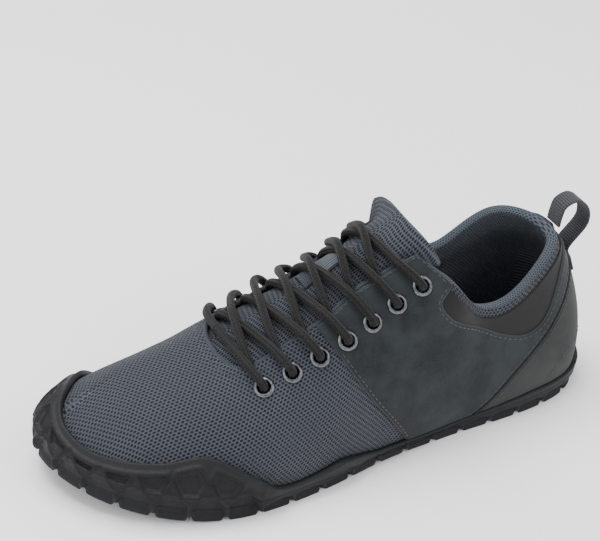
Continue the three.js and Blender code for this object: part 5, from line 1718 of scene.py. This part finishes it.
def over_eyestay(k):
    return stand_of(k) + EYELET_LIP + 3 * CLEARANCE + LACE / 2


def rib_on_edge(side, x):
    corner = (TAB_OUTER if side.sign > 0 else TAB_INNER) + LACE_FROM_TAB

    def past(u):
        rib = side.on_rib(u)
        return surface_at(rib, edge_of(rib))[..., 0] > x
    return side.on_rib(float(bisect(past, corner, RIDGE_START - 0.3)))


def eyelet_x(side, k):
    return float(surface_at(*side.eyelets[k])[0])


def meets_edge(side, k):
    first, more = LACE_AHEAD[side.sign]
    return eyelet_x(side, k) + first + more * k


def lace_in(side, k):
    """Over the throat's edge beside an eyelet, then down through it."""
    u, v = side.eyelets[k]
    rib = rib_on_edge(side, meets_edge(side, k))
    edge = float(edge_of(rib))
    lift = over_eyestay(min(k + 1, EYELETS - 1))
    stand = stand_of(k)
    centre, normal = on_upper(u, v, 0), normal_at(u, v)
    toward = unit(surface_at(rib, edge) - surface_at(u, v))
    return [offset_at(rib, edge, lift - 0.9), offset_at(mix(u, rib, 0.5), mix(v, edge, 0.5), lift - 0.2),
            centre + normal * (stand + LACE / 2 + 1.4) + toward * 0.9, centre + normal * (stand + 0.2),
            centre - normal * (WALL * 0.9)]


def lace_out(side, k):
    """From under an eyelet to where the strand comes out from under the throat's edge."""
    u = rib_on_edge(side, meets_edge(side, k) - LEAVES_BEHIND[side.sign])
    v = float(edge_of(u))
    edge = surface_at(u, v)
    limit = side.sign * edge[1] - LACE / 2 - 3 * CLEARANCE
    share = solve(lambda t: side.sign * tongue_at(edge[0], side, t, OVER_TONGUE)[1] > limit, 0, 1)
    eu, ev = side.eyelets[k]
    hidden = on_upper(mix(eu, u, 0.55), mix(ev, v, 0.45), -UNDER_DEPTH)
    return [on_upper(mix(eu, u, 0.15), mix(ev, v, 0.12), -UNDER_DEPTH), hidden,
            tongue_at(edge[0], side, share, OVER_TONGUE)]


def lace_middles():
    """Over the tongue's middle, for each crossing: the lower strand's height and the upper one's."""
    middles = []
    for k in range(EYELETS - 1):
        leaves = [lace_out(side, k)[-1] for side in SIDES]
        enters = [lace_in(side, k + 1)[0] for side in SIDES]
        x = (leaves[0][0] + leaves[1][0] + enters[0][0] + enters[1][0]) / 4
        low = OVER_TONGUE - MIDDLE_SINK + (KEEPER_THICK if k == KEEPER_CROSSING else 0)
        middles.append([tongue_at(x, LATERAL, 0, low + (0 if i else UPPER_STRAND)) for i in (0, 1)])
    return middles


def build_laces():
    middles = lace_middles()
    outer, inner = [lace_in(side, 0) for side in SIDES]
    bar_middle = tongue_at((outer[0][0] + inner[0][0]) / 2, LATERAL, 0, OVER_TONGUE + 1.2)
    for i, side in enumerate(SIDES):
        here = side
        way = [bar_middle] + lace_in(side, 0)
        for k in range(EYELETS - 1):
            other = MEDIAL if here is LATERAL else LATERAL
            leaving = SIDES.index(here)
            way += lace_out(here, k)
            way.append(middles[k][leaving])
            way += lace_in(other, k + 1)
            here = other
        u, v = here.eyelets[-1]
        way.append(on_upper(u, v + 0.02, -WALL - 4))
        path = catmull_rom(way, 14 * len(way))
        path = resample(path, int(along(path)[-1] / LACE_STEP))
        points, faces, uv = tube(path, LACE / 2, LACE_SIDES)
        obj = add_mesh(f"lace_strand_{side.name}", points, faces, uv)
        weld(obj, 1e-6)
        nodes = (["lace_bar"] + [f"lace_cross_{k + 1}" for k in range(EYELETS - 1)]) if i == 0 else []
        dress(obj, CORD, "lace_cord", *nodes)


# Tape folded over the throat's edge, and the stitches beside it on the mesh
TAPE_RADIUS = 1.25
TAPE_FROM_TAB = 0.12
THROAT_STITCH = 4.4


def throat_edge():
    """Ribs and shares along the throat's edge from the outer tab round the front to the inner one."""
    outer = np.linspace(TAB_OUTER + TAPE_FROM_TAB, RIDGE_START, 90)
    inner = np.linspace(TAB_INNER + TAPE_FROM_TAB, RIDGE_START, 90)
    us = np.concatenate([outer, ROUND - inner[:-1][::-1]])
    return us, edge_of(us)


def build_throat():
    us, v = throat_edge()
    line = resample(on_upper(us, v, -WALL / 2), 260)
    points, faces, uv = tube(line, TAPE_RADIUS, 12)
    dress(add_mesh("throat_tape", points, faces, uv), EDGE_TAPE, "mesh_cloth")
    edge = surface_at(us, v)
    for side in SIDES:
        ribs = side.on_rib(np.linspace(6.2, 10.6, 170))
        patch = Patch(ribs if side.sign > 0 else ribs[::-1], 110)
        far = np.full(patch.v.shape, FAR)
        for a, b in zip(edge[:-1], edge[1:]):
            t = np.clip(((patch.point - a) @ (b - a)) / max((b - a) @ (b - a), 1e-9), 0, 1)
            far = np.minimum(far, np.linalg.norm(patch.point - a - t[..., None] * (b - a), axis=-1))
        seam = seam_line(side)
        x, z = patch.point[..., 0], patch.point[..., 2]
        ahead = ~polygon_holds(x, z, np.concatenate([seam, behind_corners()]))
        keep = np.where(ahead, nearest_eyelet(patch.point) - 5.4, -1)
        stitch_line(patch, far - THROAT_STITCH, keep, 0.0, 0.3)


# Put together
build_upper()
for _side in SIDES:
    build_side(_side)
build_throat()
build_keeper_patch()
add_stitches()
build_outsole()
build_insole()
build_tongue()
for _side in SIDES:
    build_eyelets(_side)
build_keeper()
build_pull_loop()
build_laces()


# Floor, lights and camera
def add_floor():
    size, z = 6.0, 0.0
    mesh = bpy.data.meshes.new("floor")
    mesh.from_pydata([(-size, -size, z), (size, -size, z), (size, size, z), (-size, size, z)], [], [(0, 1, 2, 3)])
    obj = bpy.data.objects.new("floor", mesh)
    bpy.context.collection.objects.link(obj)
    obj.data.materials.append(FLOOR)


def add_area_light(name, place, target, power, size):
    data = bpy.data.lights.new(name, "AREA")
    data.energy, data.size = power, size
    obj = bpy.data.objects.new(name, data)
    bpy.context.collection.objects.link(obj)
    obj.location = place
    obj.rotation_euler = (Vector(target) - Vector(place)).to_track_quat("-Z", "Y").to_euler()


def add_world(strength):
    world = bpy.data.worlds.new("studio")
    world.use_nodes = True
    back = world.node_tree.nodes["Background"]
    back.inputs["Color"].default_value = (1, 1, 1, 1)
    back.inputs["Strength"].default_value = strength
    bpy.context.scene.world = world


def add_camera():
    data = bpy.data.cameras.new("camera")
    data.sensor_width, data.lens = 36.0, 101.19
    data.clip_start, data.clip_end = 0.05, 50
    obj = bpy.data.objects.new("camera", data)
    bpy.context.collection.objects.link(obj)
    right = Vector((-0.8981, 0.4363, 0.0550)).normalized()
    forward = Vector((-0.3922, -0.7382, -0.5490)).normalized()
    up = right.cross(forward).normalized()
    right = forward.cross(up).normalized()
    turn = Matrix((right, up, -forward)).transposed().to_4x4()
    obj.matrix_world = Matrix.Translation((0.43419, 0.58067, 0.52309)) @ turn
    bpy.context.scene.camera = obj


add_floor()
add_world(1.1)
add_area_light("key light", (0.35, -0.35, 1.3), (0.1, 0, 0.03), 24, 0.9)
add_area_light("side light", (-0.6, 0.9, 0.9), (0.0, 0, 0.03), 6, 0.8)
add_area_light("front light", (1.2, 0.4, 0.7), (0.2, 0, 0.03), 5, 0.8)
add_camera()
